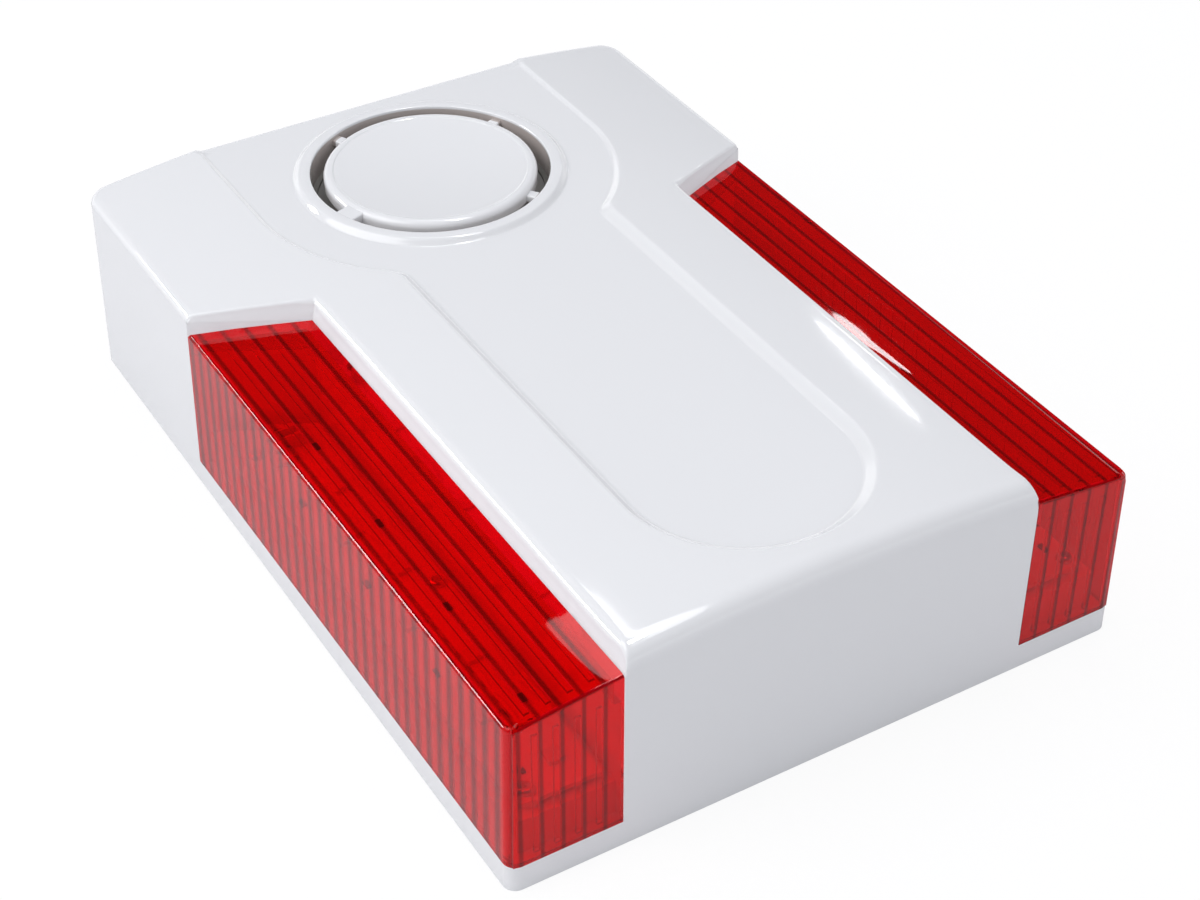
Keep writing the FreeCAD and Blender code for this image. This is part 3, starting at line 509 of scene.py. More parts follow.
def make_piece(
    name: str,
    points: Array,
    faces: Array,
    finishes: Finishes,
    slot: str,
    replaced: str,
    sharp: float = 35.0,
) -> bpy.types.Object:
    """Make a piece that rides on the siren.

    Points nearer than a micrometre become one, a corner that repeats its
    neighbour is left out of its face, and faces of fewer than three corners go.

    Args:
        name: the piece's name.
        points: its points, one row each, in millimetres.
        faces: corner indices, one row of three or four for each face.
        finishes: the siren's finishes.
        slot: the finish it takes.
        replaced: the node it stands for.
        sharp: the angle in degrees past which an edge stays sharp.

    Returns:
        The new object.
    """
    _, first, where = np.unique(np.round(points * 1000).astype(np.int64), axis=0,
                                return_index=True, return_inverse=True)
    corners = where.reshape(-1)[faces]
    fresh = corners != np.roll(corners, -1, axis=1)
    whole = fresh.sum(axis=1) >= 3
    corners, fresh = corners[whole], fresh[whole]
    counts = fresh.sum(axis=1)
    mesh = bpy.data.meshes.new(name)
    mesh.vertices.add(len(first))
    mesh.vertices.foreach_set("co", (points[first] * MM).astype(np.float32).ravel())
    mesh.loops.add(int(counts.sum()))
    mesh.loops.foreach_set("vertex_index", corners[fresh].astype(np.int32))
    mesh.polygons.add(len(counts))
    mesh.polygons.foreach_set("loop_start", (np.cumsum(counts) - counts).astype(np.int32))
    mesh.update(calc_edges=True)
    mesh.validate()
    mesh.shade_smooth()
    mesh.set_sharp_from_angle(angle=math.radians(sharp))
    mesh.materials.append(finishes.materials[slot])
    piece = bpy.data.objects.new(name, mesh)
    bpy.context.scene.collection.objects.link(piece)
    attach(piece, BODY)
    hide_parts(replaced)
    log.info("%s: %d points, %d faces", name, len(first), len(counts))
    return piece


def grid_faces(rows: int, columns: int, closed: bool = False) -> Array:
    """Four corners for each face of a grid of points, numbered row by row.

    Args:
        rows: how many rows of points.
        columns: how many points in a row.
        closed: whether the last row joins the first.

    Returns:
        An array of corner indices, four to a face.
    """
    index = np.arange(rows * columns).reshape(rows, columns)
    if closed:
        index = np.vstack([index, index[:1]])
    corners = [index[:-1, :-1], index[1:, :-1], index[1:, 1:], index[:-1, 1:]]
    return np.stack(corners, axis=-1).reshape(-1, 4)


def turned(profile: Array, x: float, y: float, steps: int = 240) -> tuple[Array, Array]:
    """Turn a profile about an upright line.

    The point at share s of the turn is (x + r cos s, y + r sin s, z).

    Args:
        profile: radius and height of each point, in millimetres.
        x: place of the line.
        y: place of the line.
        steps: how many steps in a full turn.

    Returns:
        The points and the faces.
    """
    angle = np.linspace(0.0, 2 * math.pi, steps, endpoint=False)[:, None]
    radius, height = profile[:, 0], profile[:, 1]
    points = np.stack([
        x + radius * np.cos(angle), y + radius * np.sin(angle), np.broadcast_to(height, (steps, len(height)))
    ], axis=-1)
    return points.reshape(-1, 3), grid_faces(steps, len(radius), closed=True)


def arc(centre: tuple[float, float], radius: float, start: float, end: float, steps: int = 8) -> Array:
    """Points along a circular arc in a profile, from one angle in degrees to another."""
    angle = np.radians(np.linspace(start, end, steps))
    return np.stack([centre[0] + radius * np.cos(angle), centre[1] + radius * np.sin(angle)], axis=-1)


def smoothed(share: Array) -> Array:
    """A soft rise from 0 to 1, half a cosine wave."""
    return 0.5 - 0.5 * np.cos(math.pi * np.clip(share, 0.0, 1.0))


def lower_of(first: Array, second: Array, soft: float) -> Array:
    """The lower of two heights, with their meeting rounded.

    Where they differ by less than soft, the square of what is left, over four
    times soft, is taken off.
    """
    left = np.maximum(soft - np.abs(first - second), 0.0)
    return np.minimum(first, second) - left ** 2 / (4 * soft)


def node_triangles(node: str) -> tuple[Array, Array]:
    """A node's own points in millimetres and its triangles."""
    mesh = frame["nodes"][node].data
    points = np.empty(len(mesh.vertices) * 3, np.float32)
    mesh.vertices.foreach_get("co", points)
    mesh.calc_loop_triangles()
    corners = np.empty(len(mesh.loop_triangles) * 3, np.int32)
    mesh.loop_triangles.foreach_get("vertices", corners)
    return points.reshape(-1, 3).astype(float) / MM, corners.reshape(-1, 3)


def face_normals(points: Array, faces: Array) -> Array:
    """The unit normal of each triangle."""
    a, b, c = (points[faces[:, i]] for i in range(3))
    normal = np.cross(b - a, c - a)
    return normal / np.maximum(np.linalg.norm(normal, axis=1, keepdims=True), 1e-12)


def weigh_normals(piece: bpy.types.Object) -> None:
    """Let large flat faces set the shading where they meet their rounded edges."""
    weighted = piece.modifiers.new("weighted", "WEIGHTED_NORMAL")
    weighted.keep_sharp = True


# The cover


@dataclass
class CoverForm:
    """Sizes of the cover's outer form, in millimetres and radians."""

    half_length: float = 145.0
    half_width: float = 104.0
    peak: float = 72.9
    crown_radius: float = 700.0
    side_lean: float = math.radians(1.15)
    end_lean: float = math.radians(0.3)
    corner: float = 7.0
    tight_corner: float = 4.0
    soft_head: float = 2.6
    soft_near: float = 6.0
    soft_crease: float = 3.0
    soft_crease_near: float = 1.2
    soft_slant: float = 1.0
    crease_growth: float = 14.0
    pocket_x: float = 68.2
    pocket_y: float = 41.0
    pocket_turn: float = math.radians(28.0)
    lens_drop: float = 6.4
    strip_top: float = 9.5
    bevel_slope: float = 1.9 / 7.0
    recess_depth: float = 3.7
    recess_run: float = 1.15
    recess_join: float = 3.0
    recess_soft: float = 0.5
    wide_radius: float = 61.3
    narrow_radius: float = 35.4
    narrow_y: float = -94.0
    speaker_y: float = 91.5
    core_radius: float = 43.5

    def __post_init__(self) -> None:
        """Work out the places that follow from the sizes."""
        self.floor = self.peak - self.recess_depth
        self.foot = float(self.crown(np.array(self.pocket_x))) - self.lens_drop
        self.near_y = -self.end_y(self.peak - self.soft_near)
        self.far_y = self.end_y(self.floor - self.soft_head)
        self.side_x = self.wall_x(float(self.crown(np.array(self.half_width))) - self.soft_head)

    def crown(self, x: Array) -> Array:
        """Height of the arched front: a circle of the crown's radius under its peak."""
        return self.peak - self.crown_radius + np.sqrt(self.crown_radius ** 2 - x ** 2)

    def wall_x(self, z: float | Array) -> float | Array:
        """Half the width at a height, less by the lean of the sides."""
        return self.half_width - z * math.tan(self.side_lean)

    def end_y(self, z: float | Array) -> float | Array:
        """Half the length at a height, less by the lean of the ends."""
        return self.half_length - z * math.tan(self.end_lean)

    def bevel_x(self, z: Array) -> Array:
        """Where the leaning face along the spine stands at a height."""
        return self.pocket_x - np.maximum(z - self.foot, 0.0) * self.bevel_slope

    def slant_y(self, x: Array, z: Array) -> Array:
        """Where the slanting end of a lens pocket stands at a place across and a height."""
        rise = np.maximum(z - self.foot, 0.0) * self.bevel_slope / math.cos(self.pocket_turn)
        return self.pocket_y + (x - self.pocket_x) * math.tan(self.pocket_turn) + rise

    def recess_distance(self, x: Array, y: Array) -> Array:
        """Distance out from the recess floor's outline.

        The outline joins a wide shape, round the speaker and open at the far
        end, to a narrow one with a round near end. Each is a distance to a
        line less a radius, and the smaller one counts, softened where they meet.
        """
        wide = np.hypot(x, np.minimum(y - self.speaker_y, 0.0)) - self.wide_radius
        narrow = np.hypot(x, y - np.clip(y, self.narrow_y, self.speaker_y)) - self.narrow_radius
        share = np.clip(0.5 + 0.5 * (narrow - wide) / self.recess_join, 0.0, 1.0)
        return narrow * (1 - share) + wide * share - self.recess_join * share * (1 - share)

    def face(self, x: Array, y: Array) -> Array:
        """Height of the front before its edges are rounded.

        A wall climbs from the recess floor by 1 for each step out of the
        recess's run. The front is the wall, never under the floor and never
        over the crown, with both bends softened.
        """
        wall = self.floor + self.recess_distance(x, y) / self.recess_run
        wall = -lower_of(-wall, np.full_like(wall, -self.floor), self.recess_soft)
        return lower_of(wall, self.crown(x), self.recess_soft)

    def crease(self, y: Array) -> Array:
        """Radius of the rounded edge over the lenses, smaller at the near end."""
        grown = smoothed((y - self.near_y) / self.crease_growth)
        return self.soft_crease_near + (self.soft_crease - self.soft_crease_near) * grown

    @staticmethod
    def drop(distance: Array, radius: float | Array) -> Array:
        """How far a rounded edge falls: radius less the circle's height at that distance."""
        inward = radius - np.clip(distance, 0.0, radius)
        return radius - np.sqrt(np.maximum(radius ** 2 - inward ** 2, 0.0))

    def height(self, x: Array, y: Array) -> Array:
        """Height of the finished front: the face less the drops at its three kinds of edge."""
        x = np.abs(x)
        top = self.face(x, y) - self.drop(y - self.near_y, self.soft_near)
        qx = x - (self.side_x - self.corner)
        qy = y - (self.far_y - self.corner)
        outside = np.hypot(np.maximum(qx, 0.0), np.maximum(qy, 0.0)) + np.minimum(np.maximum(qx, qy), 0.0)
        turn = math.cos(self.pocket_turn)
        crease = self.crease(y)
        across = self.bevel_x(top - crease) - x
        along = (y - self.slant_y(x, top - self.soft_slant)) * turn
        share = smoothed(0.5 + (along - across) / self.crease_growth)
        crease = crease * (1 - share) + self.soft_slant * share
        across = self.bevel_x(top - crease) - x
        along = (y - self.slant_y(x, top - crease)) * turn
        top = top - self.drop(np.maximum(across, along), crease)
        return top - self.drop(self.corner - outside, self.soft_head)

    def outward(self, points: Array, corner: float) -> Array:
        """How far points lie out from the near corner's centre, across and along."""
        across = np.abs(points[:, 0]) - self.wall_x(points[:, 2]) + corner
        along = -points[:, 1] - self.end_y(points[:, 2]) + corner
        return np.column_stack((across, along))

    @staticmethod
    def moved(points: Array, way: Array, lift: Array | float = 0.0) -> Array:
        """Points moved outward across and along by way, and up by lift."""
        side = np.sign(points[:, 0])
        return points + np.column_stack((side * way[:, 0], -way[:, 1], np.full(len(points), 0.0) + lift))

    def tight_upright(self, points: Array) -> Array:
        """Draw the near upright corner tighter.

        A point at a reach from the corner's centre keeps its direction and goes
        to the reach less the shrink from the new centre, which keeps the wall.
        """
        shrink = self.corner - self.tight_corner
        out = self.outward(points, self.corner)
        reach = np.hypot(*out.T)
        inside = (out.min(axis=1) > -1e-3) & (reach > shrink + 0.2)
        way = shrink * (1.0 - out / np.maximum(reach, 1.0)[:, None]) * inside[:, None]
        return self.moved(points, way)


class Edge(Enum):
    """The edges of the right half of the front, from the near middle to the far middle."""

    NEAR = 0
    SPINE = 1
    SLANT = 2
    SIDE = 3
    CORNER = 4
    FAR = 5


@dataclass
class Cover:
    """The white moulding: its front surface, and its walls and inside."""

    finishes: Finishes
    form: CoverForm = field(default_factory=CoverForm)
    edge_rows: int = 9
    inner_rows: int = 84
    skirt_rows: int = 3
    skirt_depth: float = 0.6
    wall_rows: float = 5.0
    wall_middle: float = 1.6
    wall_spread: float = 2.5
    blend_columns: int = 8
    upright_round: float = 1.2
    fan_y: float = -20.0
    fan_margin: float = 1.0
    least_lean: float = 0.04
    end_facing: float = 0.9
    end_band: float = 1.0
    opening_reach: float = 46.5
    opening_low: float = 56.0

    def edge_point(self, edge: Edge, share: Array, z: Array) -> tuple[Array, Array]:
        """Where an edge's wall stands in plan.

        Args:
            edge: which edge of the right half.
            share: place along it, from 0 to 1.
            z: height of the point on the wall.

        Returns:
            The x and the y of each point.
        """
        form = self.form
        bevel = form.bevel_x(z)
        elbow = form.slant_y(bevel, z)
        if edge is Edge.NEAR:
            return share * bevel, np.full_like(share, form.near_y)
        if edge is Edge.SPINE:
            return bevel, form.near_y + share * (elbow - form.near_y)
        if edge is Edge.SLANT:
            x = bevel + share * (form.side_x - bevel)
            return x, form.slant_y(x, z)
        start = form.slant_y(np.full_like(share, form.side_x), z)
        if edge is Edge.SIDE:
            return np.full_like(share, form.side_x), start + share * (form.far_y - form.corner - start)
        if edge is Edge.CORNER:
            turn = share * math.pi / 2
            x = form.side_x - form.corner * (1 - np.cos(turn))
            return x, form.far_y - form.corner * (1 - np.sin(turn))
        return (1 - share) * (form.side_x - form.corner), np.full_like(share, form.far_y)

    def eased(self, edge: Edge, share: Array, z: Array) -> tuple[Array, Array]:
        """An edge's wall in plan, with the upright corners at both ends of a lens pocket rounded.

        A point at a distance s from the corner moves by r / 4 (1 - s / r) ** 2
        along both of the corner's edges, which makes a parabola of reach r.

        Args:
            edge: which edge of the right half.
            share: place along it, from 0 to 1.
            z: height of the point on the wall.

        Returns:
            The x and the y of each point.
        """
        form = self.form
        x, y = self.edge_point(edge, share, z)
        turn = form.pocket_turn
        if edge is Edge.NEAR:
            apart, way = form.bevel_x(z) - x, (-1.0, 1.0)
        elif edge is Edge.SPINE:
            apart, way = y - form.near_y, (-1.0, 1.0)
        elif edge is Edge.SLANT:
            apart, way = (form.side_x - x) / math.cos(turn), (-math.cos(turn), 1.0 - math.sin(turn))
        elif edge is Edge.SIDE:
            apart, way = y - form.slant_y(x, z), (-math.cos(turn), 1.0 - math.sin(turn))
        else:
            return x, y
        reach = self.upright_round
        move = reach / 4 * np.maximum(1.0 - apart / reach, 0.0) ** 2
        return x + move * way[0], y + move * way[1]

    def edge_shares(self, edge: Edge) -> Array:
        """Places along an edge, closer together where it meets a rounded one."""
        quarter = 1 - np.cos(np.linspace(0, math.pi / 2, 7))
        if edge is Edge.NEAR:
            return np.concatenate([np.linspace(0, 0.98, 44), 1 - 0.018 * quarter[5:0:-1]])
        if edge is Edge.SPINE:
            return np.concatenate([0.033 * quarter, np.linspace(0.04, 0.994, 140)])
        if edge is Edge.SLANT:
            return np.concatenate([np.linspace(0, 0.9, 34), 1 - 0.07 * quarter[6:0:-1]])
        if edge is Edge.SIDE:
            return np.concatenate([0.014 * quarter, np.linspace(0.03, 0.99, 52)])
        if edge is Edge.CORNER:
            return np.linspace(0, 0.92, 12)
        return np.linspace(0, 1, 62)

    def front(self) -> tuple[Array, Array]:
        """The front surface as a closed loop of columns.

        Each column starts a little down its wall, climbs over the rounded edge
        and runs across the face to the core: the ring's foot round the speaker,
        or the centre line of the spine. Its steps over the edge follow
        radius (1 - cos t), and the rest crowd together on the recess's wall.

        Returns:
            The points and the faces.
        """
        form = self.form
        radii = {Edge.NEAR: form.soft_near, Edge.SPINE: form.soft_crease, Edge.SLANT: form.soft_slant}
        starts, skirts, climbs = [], [], []
        for edge in Edge:
            share = self.edge_shares(edge)
            z = np.full_like(share, form.foot)
            for _ in range(8):
                x, y = self.edge_point(edge, share, z)
                z = form.height(x, y)
            x, y = self.eased(edge, share, z)
            starts.append(np.stack([x, y], axis=-1))
            skirts.append(self.skirt(edge, share, z))
            radius = np.full_like(share, radii.get(edge, form.soft_head))
            climbs.append(radius / self.squareness(edge, share, x, y))
        start, skirt, climb = (np.concatenate(part) for part in (starts, skirts, climbs))
        width = 2 * self.blend_columns + 1
        climb = np.convolve(np.pad(climb, self.blend_columns, "edge"), np.full(width, 1 / width), "valid")
        core = np.stack(self.core(start[:, 0], start[:, 1]), axis=-1)
        reach = np.linalg.norm(core - start, axis=1)[:, None]
        steps = 1 - np.cos(np.linspace(0, math.pi / 2, self.edge_rows + 1))
        near = climb[:, None] * steps / reach
        far = self.crowded(start, core, near[:, -1])
        run = np.concatenate([near, far[:, 1:]], axis=1)[:, :, None]
        plan = start[:, None] * (1 - run) + core[:, None] * run
        top = np.concatenate([plan, form.height(plan[..., 0], plan[..., 1])[..., None]], axis=-1)
        right = np.concatenate([skirt, top], axis=1)
        left = right[-2:0:-1] * np.array([-1.0, 1.0, 1.0])
        points = np.concatenate([right, left])
        count, rows = points.shape[:2]
        return points.reshape(-1, 3), grid_faces(count, rows, closed=True)

    def squareness(self, edge: Edge, share: Array, x: Array, y: Array) -> Array:
        """The cosine between each column's run and the square way in from its edge."""
        core_x, core_y = self.core(x, y)
        reach = np.hypot(core_x - x, core_y - y)
        ux, uy = (core_x - x) / reach, (core_y - y) / reach
        turn = self.form.pocket_turn
        inward = {
            Edge.NEAR: (0.0, 1.0), Edge.SPINE: (-1.0, 0.0), Edge.SLANT: (-math.sin(turn), math.cos(turn)),
            Edge.SIDE: (-1.0, 0.0), Edge.FAR: (0.0, -1.0),
            Edge.CORNER: (-np.cos(share * math.pi / 2), -np.sin(share * math.pi / 2)),
        }
        return ux * inward[edge][0] + uy * inward[edge][1]

    def crowded(self, start: Array, core: Array, first: Array) -> Array:
        """Shares of the run at which each column's inner points lie.

        A fine even row of samples along each column is weighed by
        1 + rows exp(-((d - middle) / spread) ** 2), where d is the distance out
        from the recess floor. The points take equal shares of the summed weight.

        Args:
            start: plan places of the columns' outer ends.
            core: plan places of their inner ends.
            first: the share at which each column's inner points begin.

        Returns:
            The shares, one row for each column.
        """
        fine = np.linspace(0, 1, 400)
        share = first[:, None] + (1 - first[:, None]) * fine
        place = start[:, None] * (1 - share[..., None]) + core[:, None] * share[..., None]
        out = self.form.recess_distance(place[..., 0], place[..., 1])
        weight = 1 + self.wall_rows * np.exp(-((out - self.wall_middle) / self.wall_spread) ** 2)
        total = np.cumsum(weight, axis=1) - weight[:, :1]
        total = total / total[:, -1:]
        wanted = np.linspace(0, 1, self.inner_rows + 1)
        return np.stack([np.interp(wanted, row, line) for row, line in zip(total, share)])

    def skirt(self, edge: Edge, share: Array, z: Array) -> Array:
        """The start of each column, down its wall and below the rounded edge.

        Args:
            edge: which edge of the right half.
            share: place along it.
            z: height where the wall ends and the rounding starts.

        Returns:
            The points, lowest first, in one row for each column.
        """
        low = z - self.skirt_depth
        if edge in (Edge.SPINE, Edge.SLANT):
            low = np.minimum(low, self.form.foot - self.skirt_depth)
        rows = []
        for step in range(self.skirt_rows):
            level = low + (z - low) * step / self.skirt_rows
            x, y = self.eased(edge, share, level)
            rows.append(np.stack([x, y, level], axis=-1))
        return np.stack(rows, axis=1)

    def core(self, x: Array, y: Array) -> tuple[Array, Array]:
        """Where the column from a point on the outline ends.

        Points on the head run to the circle round the speaker, those near the
        elbow fan out over its near quarter, and the rest run to the centre line.
        """
        form = self.form
        fan_end = form.pocket_y + self.fan_margin
        elbow = math.atan2(form.pocket_y - form.speaker_y, form.pocket_x)
        angle = np.arctan2(y - form.speaker_y, x)
        share = np.clip((y - self.fan_y) / (fan_end - self.fan_y), 0.0, 1.0)
        fanned = -math.pi / 2 + (elbow + math.pi / 2) * share
        angle = np.where(y < fan_end, fanned, angle)
        line_end = form.speaker_y - form.core_radius
        line = form.narrow_y + (line_end - form.narrow_y) * (y - form.near_y) / (self.fan_y - form.near_y)
        on_line = y < self.fan_y
        core_x = np.where(on_line, 0.0, form.core_radius * np.cos(angle))
        core_y = np.where(on_line, line, form.speaker_y + form.core_radius * np.sin(angle))
        return core_x, core_y

    def build(self) -> None:
        """Make the front, and the walls and inside from the node's own faces."""
        form = self.form
        points, faces = self.front()
        make_piece("cover_front", points, faces, self.finishes, "cover_white", "front_cover", 50.0)
        points, faces = node_triangles("front_cover")
        normals = face_normals(points, faces)
        corner = points[faces]
        low = corner[:, :, 2].min(axis=1)
        middle = corner.mean(axis=1)
        outer = (low > form.foot - self.skirt_depth) & (normals[:, 2] > self.least_lean)
        reach = np.hypot(middle[:, 0], middle[:, 1] - form.speaker_y)
        speaker = (reach < self.opening_reach) & (low > self.opening_low)
        for end, edge_y in ((1.0, form.far_y), (-1.0, form.near_y)):
            beyond = (corner[:, :, 1] * end).min(axis=1) > edge_y * end - self.end_band
            wall = (normals[:, 1] * end > self.end_facing) & beyond
            across = np.clip(np.abs(corner[wall, :, 0]), 0.0, form.side_x - form.corner)
            border = form.height(across, np.full_like(across, edge_y))
            corner[wall, :, 2] = np.minimum(corner[wall, :, 2], border)
        kept = corner[~(outer | speaker)]
        points = kept.reshape(-1, 3)
        in_strip = points[:, 2] < form.strip_top
        points = np.where(in_strip[:, None], form.tight_upright(points), points)
        faces = np.arange(len(points)).reshape(-1, 3)
        body = make_piece("cover_body", points, faces, self.finishes, "cover_white", "front_cover", 30.0)
        weigh_normals(body)


@dataclass
class Speaker:
    """The speaker opening: ring and throat, disc, and the bridges between them."""

    finishes: Finishes
    form: CoverForm = field(default_factory=CoverForm)
    ring_outer: float = 46.4
    ring_height: float = 1.8
    ring_wall: float = 2.8
    slot_outer: float = 40.2
    slot_edge: float = 0.5
    throat_wall: float = 2.4
    throat_rim: float = 2.6
    throat_depth: float = 8.2
    disc_radius: float = 35.9
    disc_rise: float = 1.8
    rim_width: float = 3.2
    rim_step: float = 0.3
    rim_round: float = 2.3
    disc_wall: float = 2.8
    skirt_depth: float = 4.6
    skirt_wall: float = 2.6
    bridge_depth: float = 2.6
    bridges: tuple[tuple[float, float, float], ...] = (
        (28.0, 4.0, 1.9), (116.0, 4.0, 1.9), (198.0, 7.5, 0.2), (307.0, 4.0, 1.9),
    )
    bridge_edge: float = 0.6

    def ring(self) -> Array:
        """The ring's profile: throat, rounded inner edge, flat top and a soft outer wall."""
        floor = self.form.floor
        top = floor + self.ring_height
        low = floor - self.throat_depth
        outside = self.slot_outer + self.throat_wall
        radius = np.linspace(self.ring_outer - self.ring_wall, self.ring_outer, 12)
        fall = top - (self.ring_height + 0.03) * smoothed((radius - radius[0]) / self.ring_wall)
        return np.concatenate([
            [[outside, floor - self.throat_rim], [outside, low], [self.slot_outer, low]],
            arc((self.slot_outer + self.slot_edge, top - self.slot_edge), self.slot_edge, 180, 90, 6),
            np.stack([radius, fall], axis=-1),
        ])[::-1]

    def disc(self) -> Array:
        """The disc's profile: flat face, small step, rounded rim and skirt."""
        top = self.form.floor + self.disc_rise
        rim = top + self.rim_step
        face = self.disc_radius - self.rim_width
        inner = self.disc_radius - self.skirt_wall
        under = top - self.disc_wall
        low = rim - self.skirt_depth
        step = np.linspace(0.0, 1.0, 6)
        rise = np.stack([face - 0.5 + 0.7 * step, top + self.rim_step * smoothed(step)], axis=-1)
        return np.concatenate([
            [[0.0, under], [inner, under], [inner, low], [self.disc_radius, low]],
            arc((self.disc_radius - self.rim_round, rim - self.rim_round), self.rim_round, 0, 90, 12),
            rise[::-1],
            [[0.0, top]],
        ])

    def bridge(self, angle: float, width: float, drop: float) -> tuple[Array, Array]:
        """A bridge: a rounded rectangle carried out from the disc to the ring.

        Args:
            angle: its direction from the centre, in degrees.
            width: its width.
            drop: how far its top lies under the ring's.

        Returns:
            The points and the faces.
        """
        top = self.form.floor + self.ring_height - drop
        rim = self.form.floor + self.disc_rise + self.rim_step
        low = min(rim - self.skirt_depth, top - self.bridge_depth)
        soft = self.bridge_edge
        half = width / 2 - soft
        section = np.concatenate([
            arc((half, top - soft), soft, 0, 90, 5),
            arc((-half, top - soft), soft, 90, 180, 5),
            arc((-half, low + soft), soft, 180, 270, 5),
            arc((half, low + soft), soft, 270, 360, 5),
        ])
        reach = np.array([self.disc_radius - 1.0, self.slot_outer + 1.0])
        across = np.broadcast_to(section[:, :1], (len(section), 2))
        turn = math.radians(angle)
        points = np.stack([
            reach * math.cos(turn) - across * math.sin(turn),
            self.form.speaker_y + reach * math.sin(turn) + across * math.cos(turn),
            np.broadcast_to(section[:, 1:], (len(section), 2)),
        ], axis=-1)
        return points.reshape(-1, 3), grid_faces(len(section), 2, closed=True)

    def build(self) -> None:
        """Make the ring, the disc and the bridges."""
        y = self.form.speaker_y
        for name, profile in (("speaker_ring", self.ring()), ("speaker_disc", self.disc())):
            points, faces = turned(profile, 0.0, y)
            make_piece(name, points, faces, self.finishes, "cover_white", "front_cover", 40.0)
        for number, bridge in enumerate(self.bridges, 1):
            points, faces = self.bridge(*bridge)
            name = f"speaker_bridge_{number}"
            make_piece(name, points, faces, self.finishes, "cover_white", "front_cover", 60.0)


# The lenses


class Side(Enum):
    """The two sides of the siren."""

    LEFT = "left"
    RIGHT = "right"


@dataclass
class Lens:
    """One red lens, made from the solid's own faces.

    Its outer edges are drawn tighter than the solid's, and the ribs under the
    top and along the side stand less deep, so that less light bends in them.
    """

    finishes: Finishes
    side: Side
    form: CoverForm = field(default_factory=CoverForm)
    edge: float = 1.1
    solid_edge: float = 2.6
    wall: float = 2.4
    rib: float = 0.9
    side_rib: float = 0.3
    top_rib: float = 0.85
    rib_band: float = 0.05
    round_band: float = 0.15
    flat_band: float = 0.02

    def below_top(self, points: Array) -> Array:
        """How far points lie under the lens's top face."""
        return self.form.crown(points[:, 0]) - self.form.lens_drop - points[:, 2]

    def tight_edge(self, points: Array) -> Array:
        """Draw the rounded upper edge tighter.

        A point of the rounding at a depth from the wall and from the top goes
        to both depths times the new radius over the solid's.
        """
        out = self.form.outward(points, self.form.tight_corner)
        beyond = np.maximum(out, 0.0)
        reach = np.hypot(*beyond.T)
        flat = np.eye(2)[np.argmax(out, axis=1)]
        way = np.where(reach[:, None] > 0, beyond / np.maximum(reach, 1e-6)[:, None], flat)
        deep = self.form.tight_corner - np.where(reach > 0, reach, out.max(axis=1))
        low = self.below_top(points)
        left = self.solid_edge - np.column_stack((deep, low))
        rounded = np.abs(np.hypot(*left.T) - self.solid_edge) < self.round_band
        rounded &= left.min(axis=1) > -self.flat_band
        share = (1.0 - self.edge / self.solid_edge) * rounded
        return self.form.moved(points, way * (share * deep)[:, None], share * low)

    def shallow_ribs(self, points: Array) -> Array:
        """Draw the ribs of the side and the top less deep, and leave the walls."""
        deep = self.form.corner - self.form.outward(points, self.form.corner)[:, 0] - self.wall
        low = self.below_top(points) - self.wall
        on_side = (deep > self.rib_band) & (deep < self.rib + 2 * self.rib_band)
        on_top = (low > self.rib_band) & (low < self.rib + 2 * self.rib_band) & ~on_side
        way = np.column_stack(((1.0 - self.side_rib / self.rib) * deep * on_side, np.zeros(len(points))))
        return self.form.moved(points, way, (1.0 - self.top_rib / self.rib) * low * on_top)

    def build(self) -> None:
        """Make the lens."""
        node = f"lens_{self.side.value}"
        points, faces = node_triangles(node)
        points = self.tight_edge(self.form.tight_upright(self.shallow_ribs(points)))
        piece = make_piece(f"{node}_shell", points, faces, self.finishes, "lens_red", node, 30.0)
        weigh_normals(piece)


# The studio


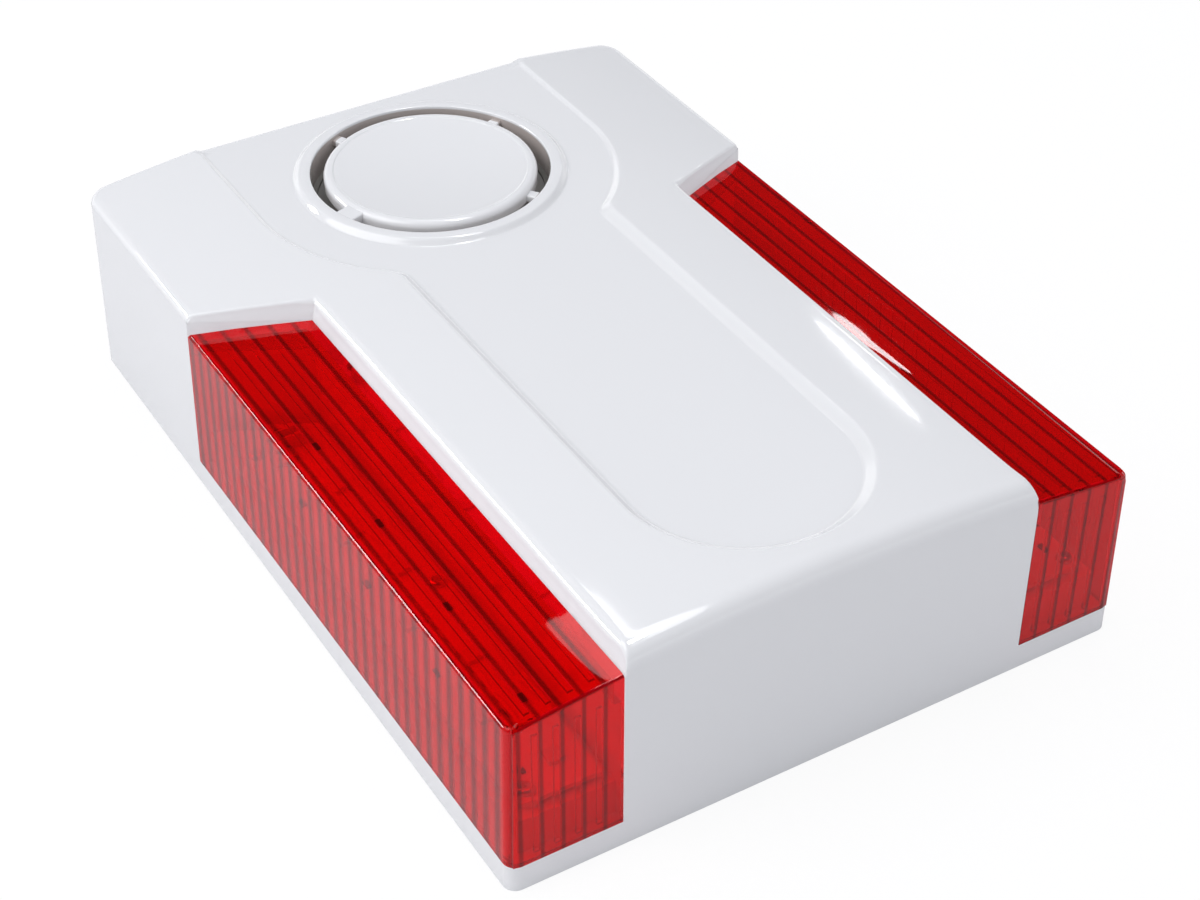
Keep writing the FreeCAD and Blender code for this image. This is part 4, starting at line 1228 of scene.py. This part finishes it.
@dataclass
class Studio:
    """Camera, white table and soft lights."""

    place: Colour = (-0.30082, -0.51570, 0.47990)
    right: Colour = (0.85682797, -0.51559059, 0.00348757)
    down: Colour = (-0.31570413, -0.52997292, -0.78705757)
    lens: float = 70.22
    world_light: float = 0.69
    ceiling_light: float = 0.05
    ceiling_tint: Colour = (0.975, 0.985, 1.035)
    table_colour: Colour = (0.72, 0.72, 0.73)
    table_glow: float = 1.05
    table_half: float = 12.0
    shadow_share: float = 0.15

    def camera(self) -> None:
        """Set the camera where the photograph was taken from."""
        data = bpy.data.cameras.new("camera")
        data.lens = self.lens
        data.sensor_width = 36.0
        data.clip_start = 0.01
        data.clip_end = 50.0
        camera = bpy.data.objects.new("camera", data)
        across, up = Vector(self.right), -Vector(self.down)
        turn = Matrix((across, up, across.cross(up))).transposed()
        camera.matrix_world = Matrix.Translation(self.place) @ turn.to_4x4()
        bpy.context.scene.collection.objects.link(camera)
        bpy.context.scene.camera = camera

    def world(self) -> None:
        """Even light from all round, a white backdrop and a dim ceiling in reflections."""
        world = bpy.data.worlds.new("studio")
        bpy.context.scene.world = world
        shade = Shade("studio", world)
        path = shade.node("ShaderNodeLightPath")
        camera, glossy, through = (
            Wire(shade, path.outputs[f"Is {kind} Ray"]) for kind in ("Camera", "Glossy", "Transmission")
        )
        way = shade.node("ShaderNodeSeparateXYZ", None, {
            0: Wire(shade, shade.node("ShaderNodeTexCoord").outputs["Generated"]),
        })
        high = Wire(shade, way.outputs[2]).step(0.12, 0.36)
        backdrop = 1.0 - (1.0 - self.ceiling_light) * high
        plain = camera.larger(through)
        strength = self.world_light + (1.0 - self.world_light) * plain
        strength = strength + glossy * (backdrop - self.world_light)
        tint = shade.blend(high, (1.0, 1.0, 1.0), self.ceiling_tint)
        light = shade.node("ShaderNodeBackground", None, {"Color": tint, "Strength": strength})
        shade.finish(light, "ShaderNodeOutputWorld")

    def table(self) -> None:
        """A wide white table top that keeps a faint shadow."""
        mesh = bpy.data.meshes.new("table")
        half = self.table_half
        places = [(-half, -half, 0), (half, -half, 0), (half, half, 0), (-half, half, 0)]
        mesh.from_pydata(places, [], [(0, 1, 2, 3)])
        shade = Shade("table_white")
        matt = shade.node("ShaderNodeBsdfDiffuse", None, {"Color": (*self.table_colour, 1.0)})
        glow = shade.node(
            "ShaderNodeEmission", None, {"Color": (1.0, 1.0, 1.0, 1.0), "Strength": self.table_glow}
        )
        path = shade.node("ShaderNodeLightPath")
        share = (1.0 - self.shadow_share) * Wire(shade, path.outputs["Is Camera Ray"])
        mesh.materials.append(shade.finish(shade.node(
            "ShaderNodeMixShader", None,
            {0: share, 1: Wire(shade, matt.outputs[0]), 2: Wire(shade, glow.outputs[0])},
        )))
        table = bpy.data.objects.new("table", mesh)
        bpy.context.scene.collection.objects.link(table)

    def softbox(
        self, name: str, place: Colour, aim: Colour, size: tuple[float, float], power: float,
        shape: str = "RECTANGLE", turn: float = 0.0, lights: bool = True,
    ) -> None:
        """A flat lamp.

        Args:
            name: its name.
            place: where it hangs, in metres.
            aim: the point it faces.
            size: its width and height.
            power: its output in watts.
            shape: RECTANGLE or ELLIPSE.
            turn: a turn about its own axis, in degrees.
            lights: whether it lights matt surfaces too, or shows only as a reflection.
        """
        data = bpy.data.lights.new(name, "AREA")
        data.shape = shape
        data.size, data.size_y = size
        data.energy = power
        lamp = bpy.data.objects.new(name, data)
        lamp.location = place
        lamp.visible_diffuse = lights
        facing = (Vector(aim) - Vector(place)).to_track_quat("-Z", "Y")
        lamp.rotation_euler = (facing @ Quaternion((0.0, 0.0, 1.0), math.radians(turn))).to_euler()
        bpy.context.scene.collection.objects.link(lamp)

    def build(self) -> None:
        """Set up the whole studio."""
        self.camera()
        self.world()
        self.table()
        self.softbox("key", (-1.1, 0.3, 1.35), (0.0, 0.0, 0.03), (1.4, 1.4), 13.8)
        self.softbox("overhead", (0.3625, 0.23, 1.4), (0.3625, 0.23, 0.0), (0.125, 1.66), 2.1)
        self.softbox("near_edge", (0.245, 0.0, 1.4), (0.245, 0.0, 0.0), (0.13, 0.4), 4.0, lights=False)
        self.softbox("side_edge", (-1.225, 1.16, 0.607), (-0.1, -0.05, 0.065), (0.75, 0.3), 14.0, turn=-20.0,
                     lights=False)
        self.softbox("streak", (1.68, 1.62, 1.4), (1.68, 1.62, 0.0), (0.034, 0.31), 0.24, "ELLIPSE", -11.0)
        self.softbox("glint", (1.94, 1.835, 1.4), (1.94, 1.835, 0.0), (0.085, 0.22), 0.55, "ELLIPSE", 10.0)
        bpy.context.scene.view_settings.view_transform = "Standard"


def corners(box: tuple[Vector, Vector]) -> list[list[float]]:
    """A box's two corners as plain lists."""
    return [list(corner) for corner in box]


def main() -> None:
    """Dress the frame, add the surfaces and set up the studio."""
    logging.basicConfig(level=logging.INFO, format="%(message)s")
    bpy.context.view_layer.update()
    finishes = Finishes()
    finishes.dress_nodes()
    Cover(finishes).build()
    Speaker(finishes).build()
    for side in Side:
        Lens(finishes, side).build()
    Studio().build()


if __name__ == "__main__":
    main()
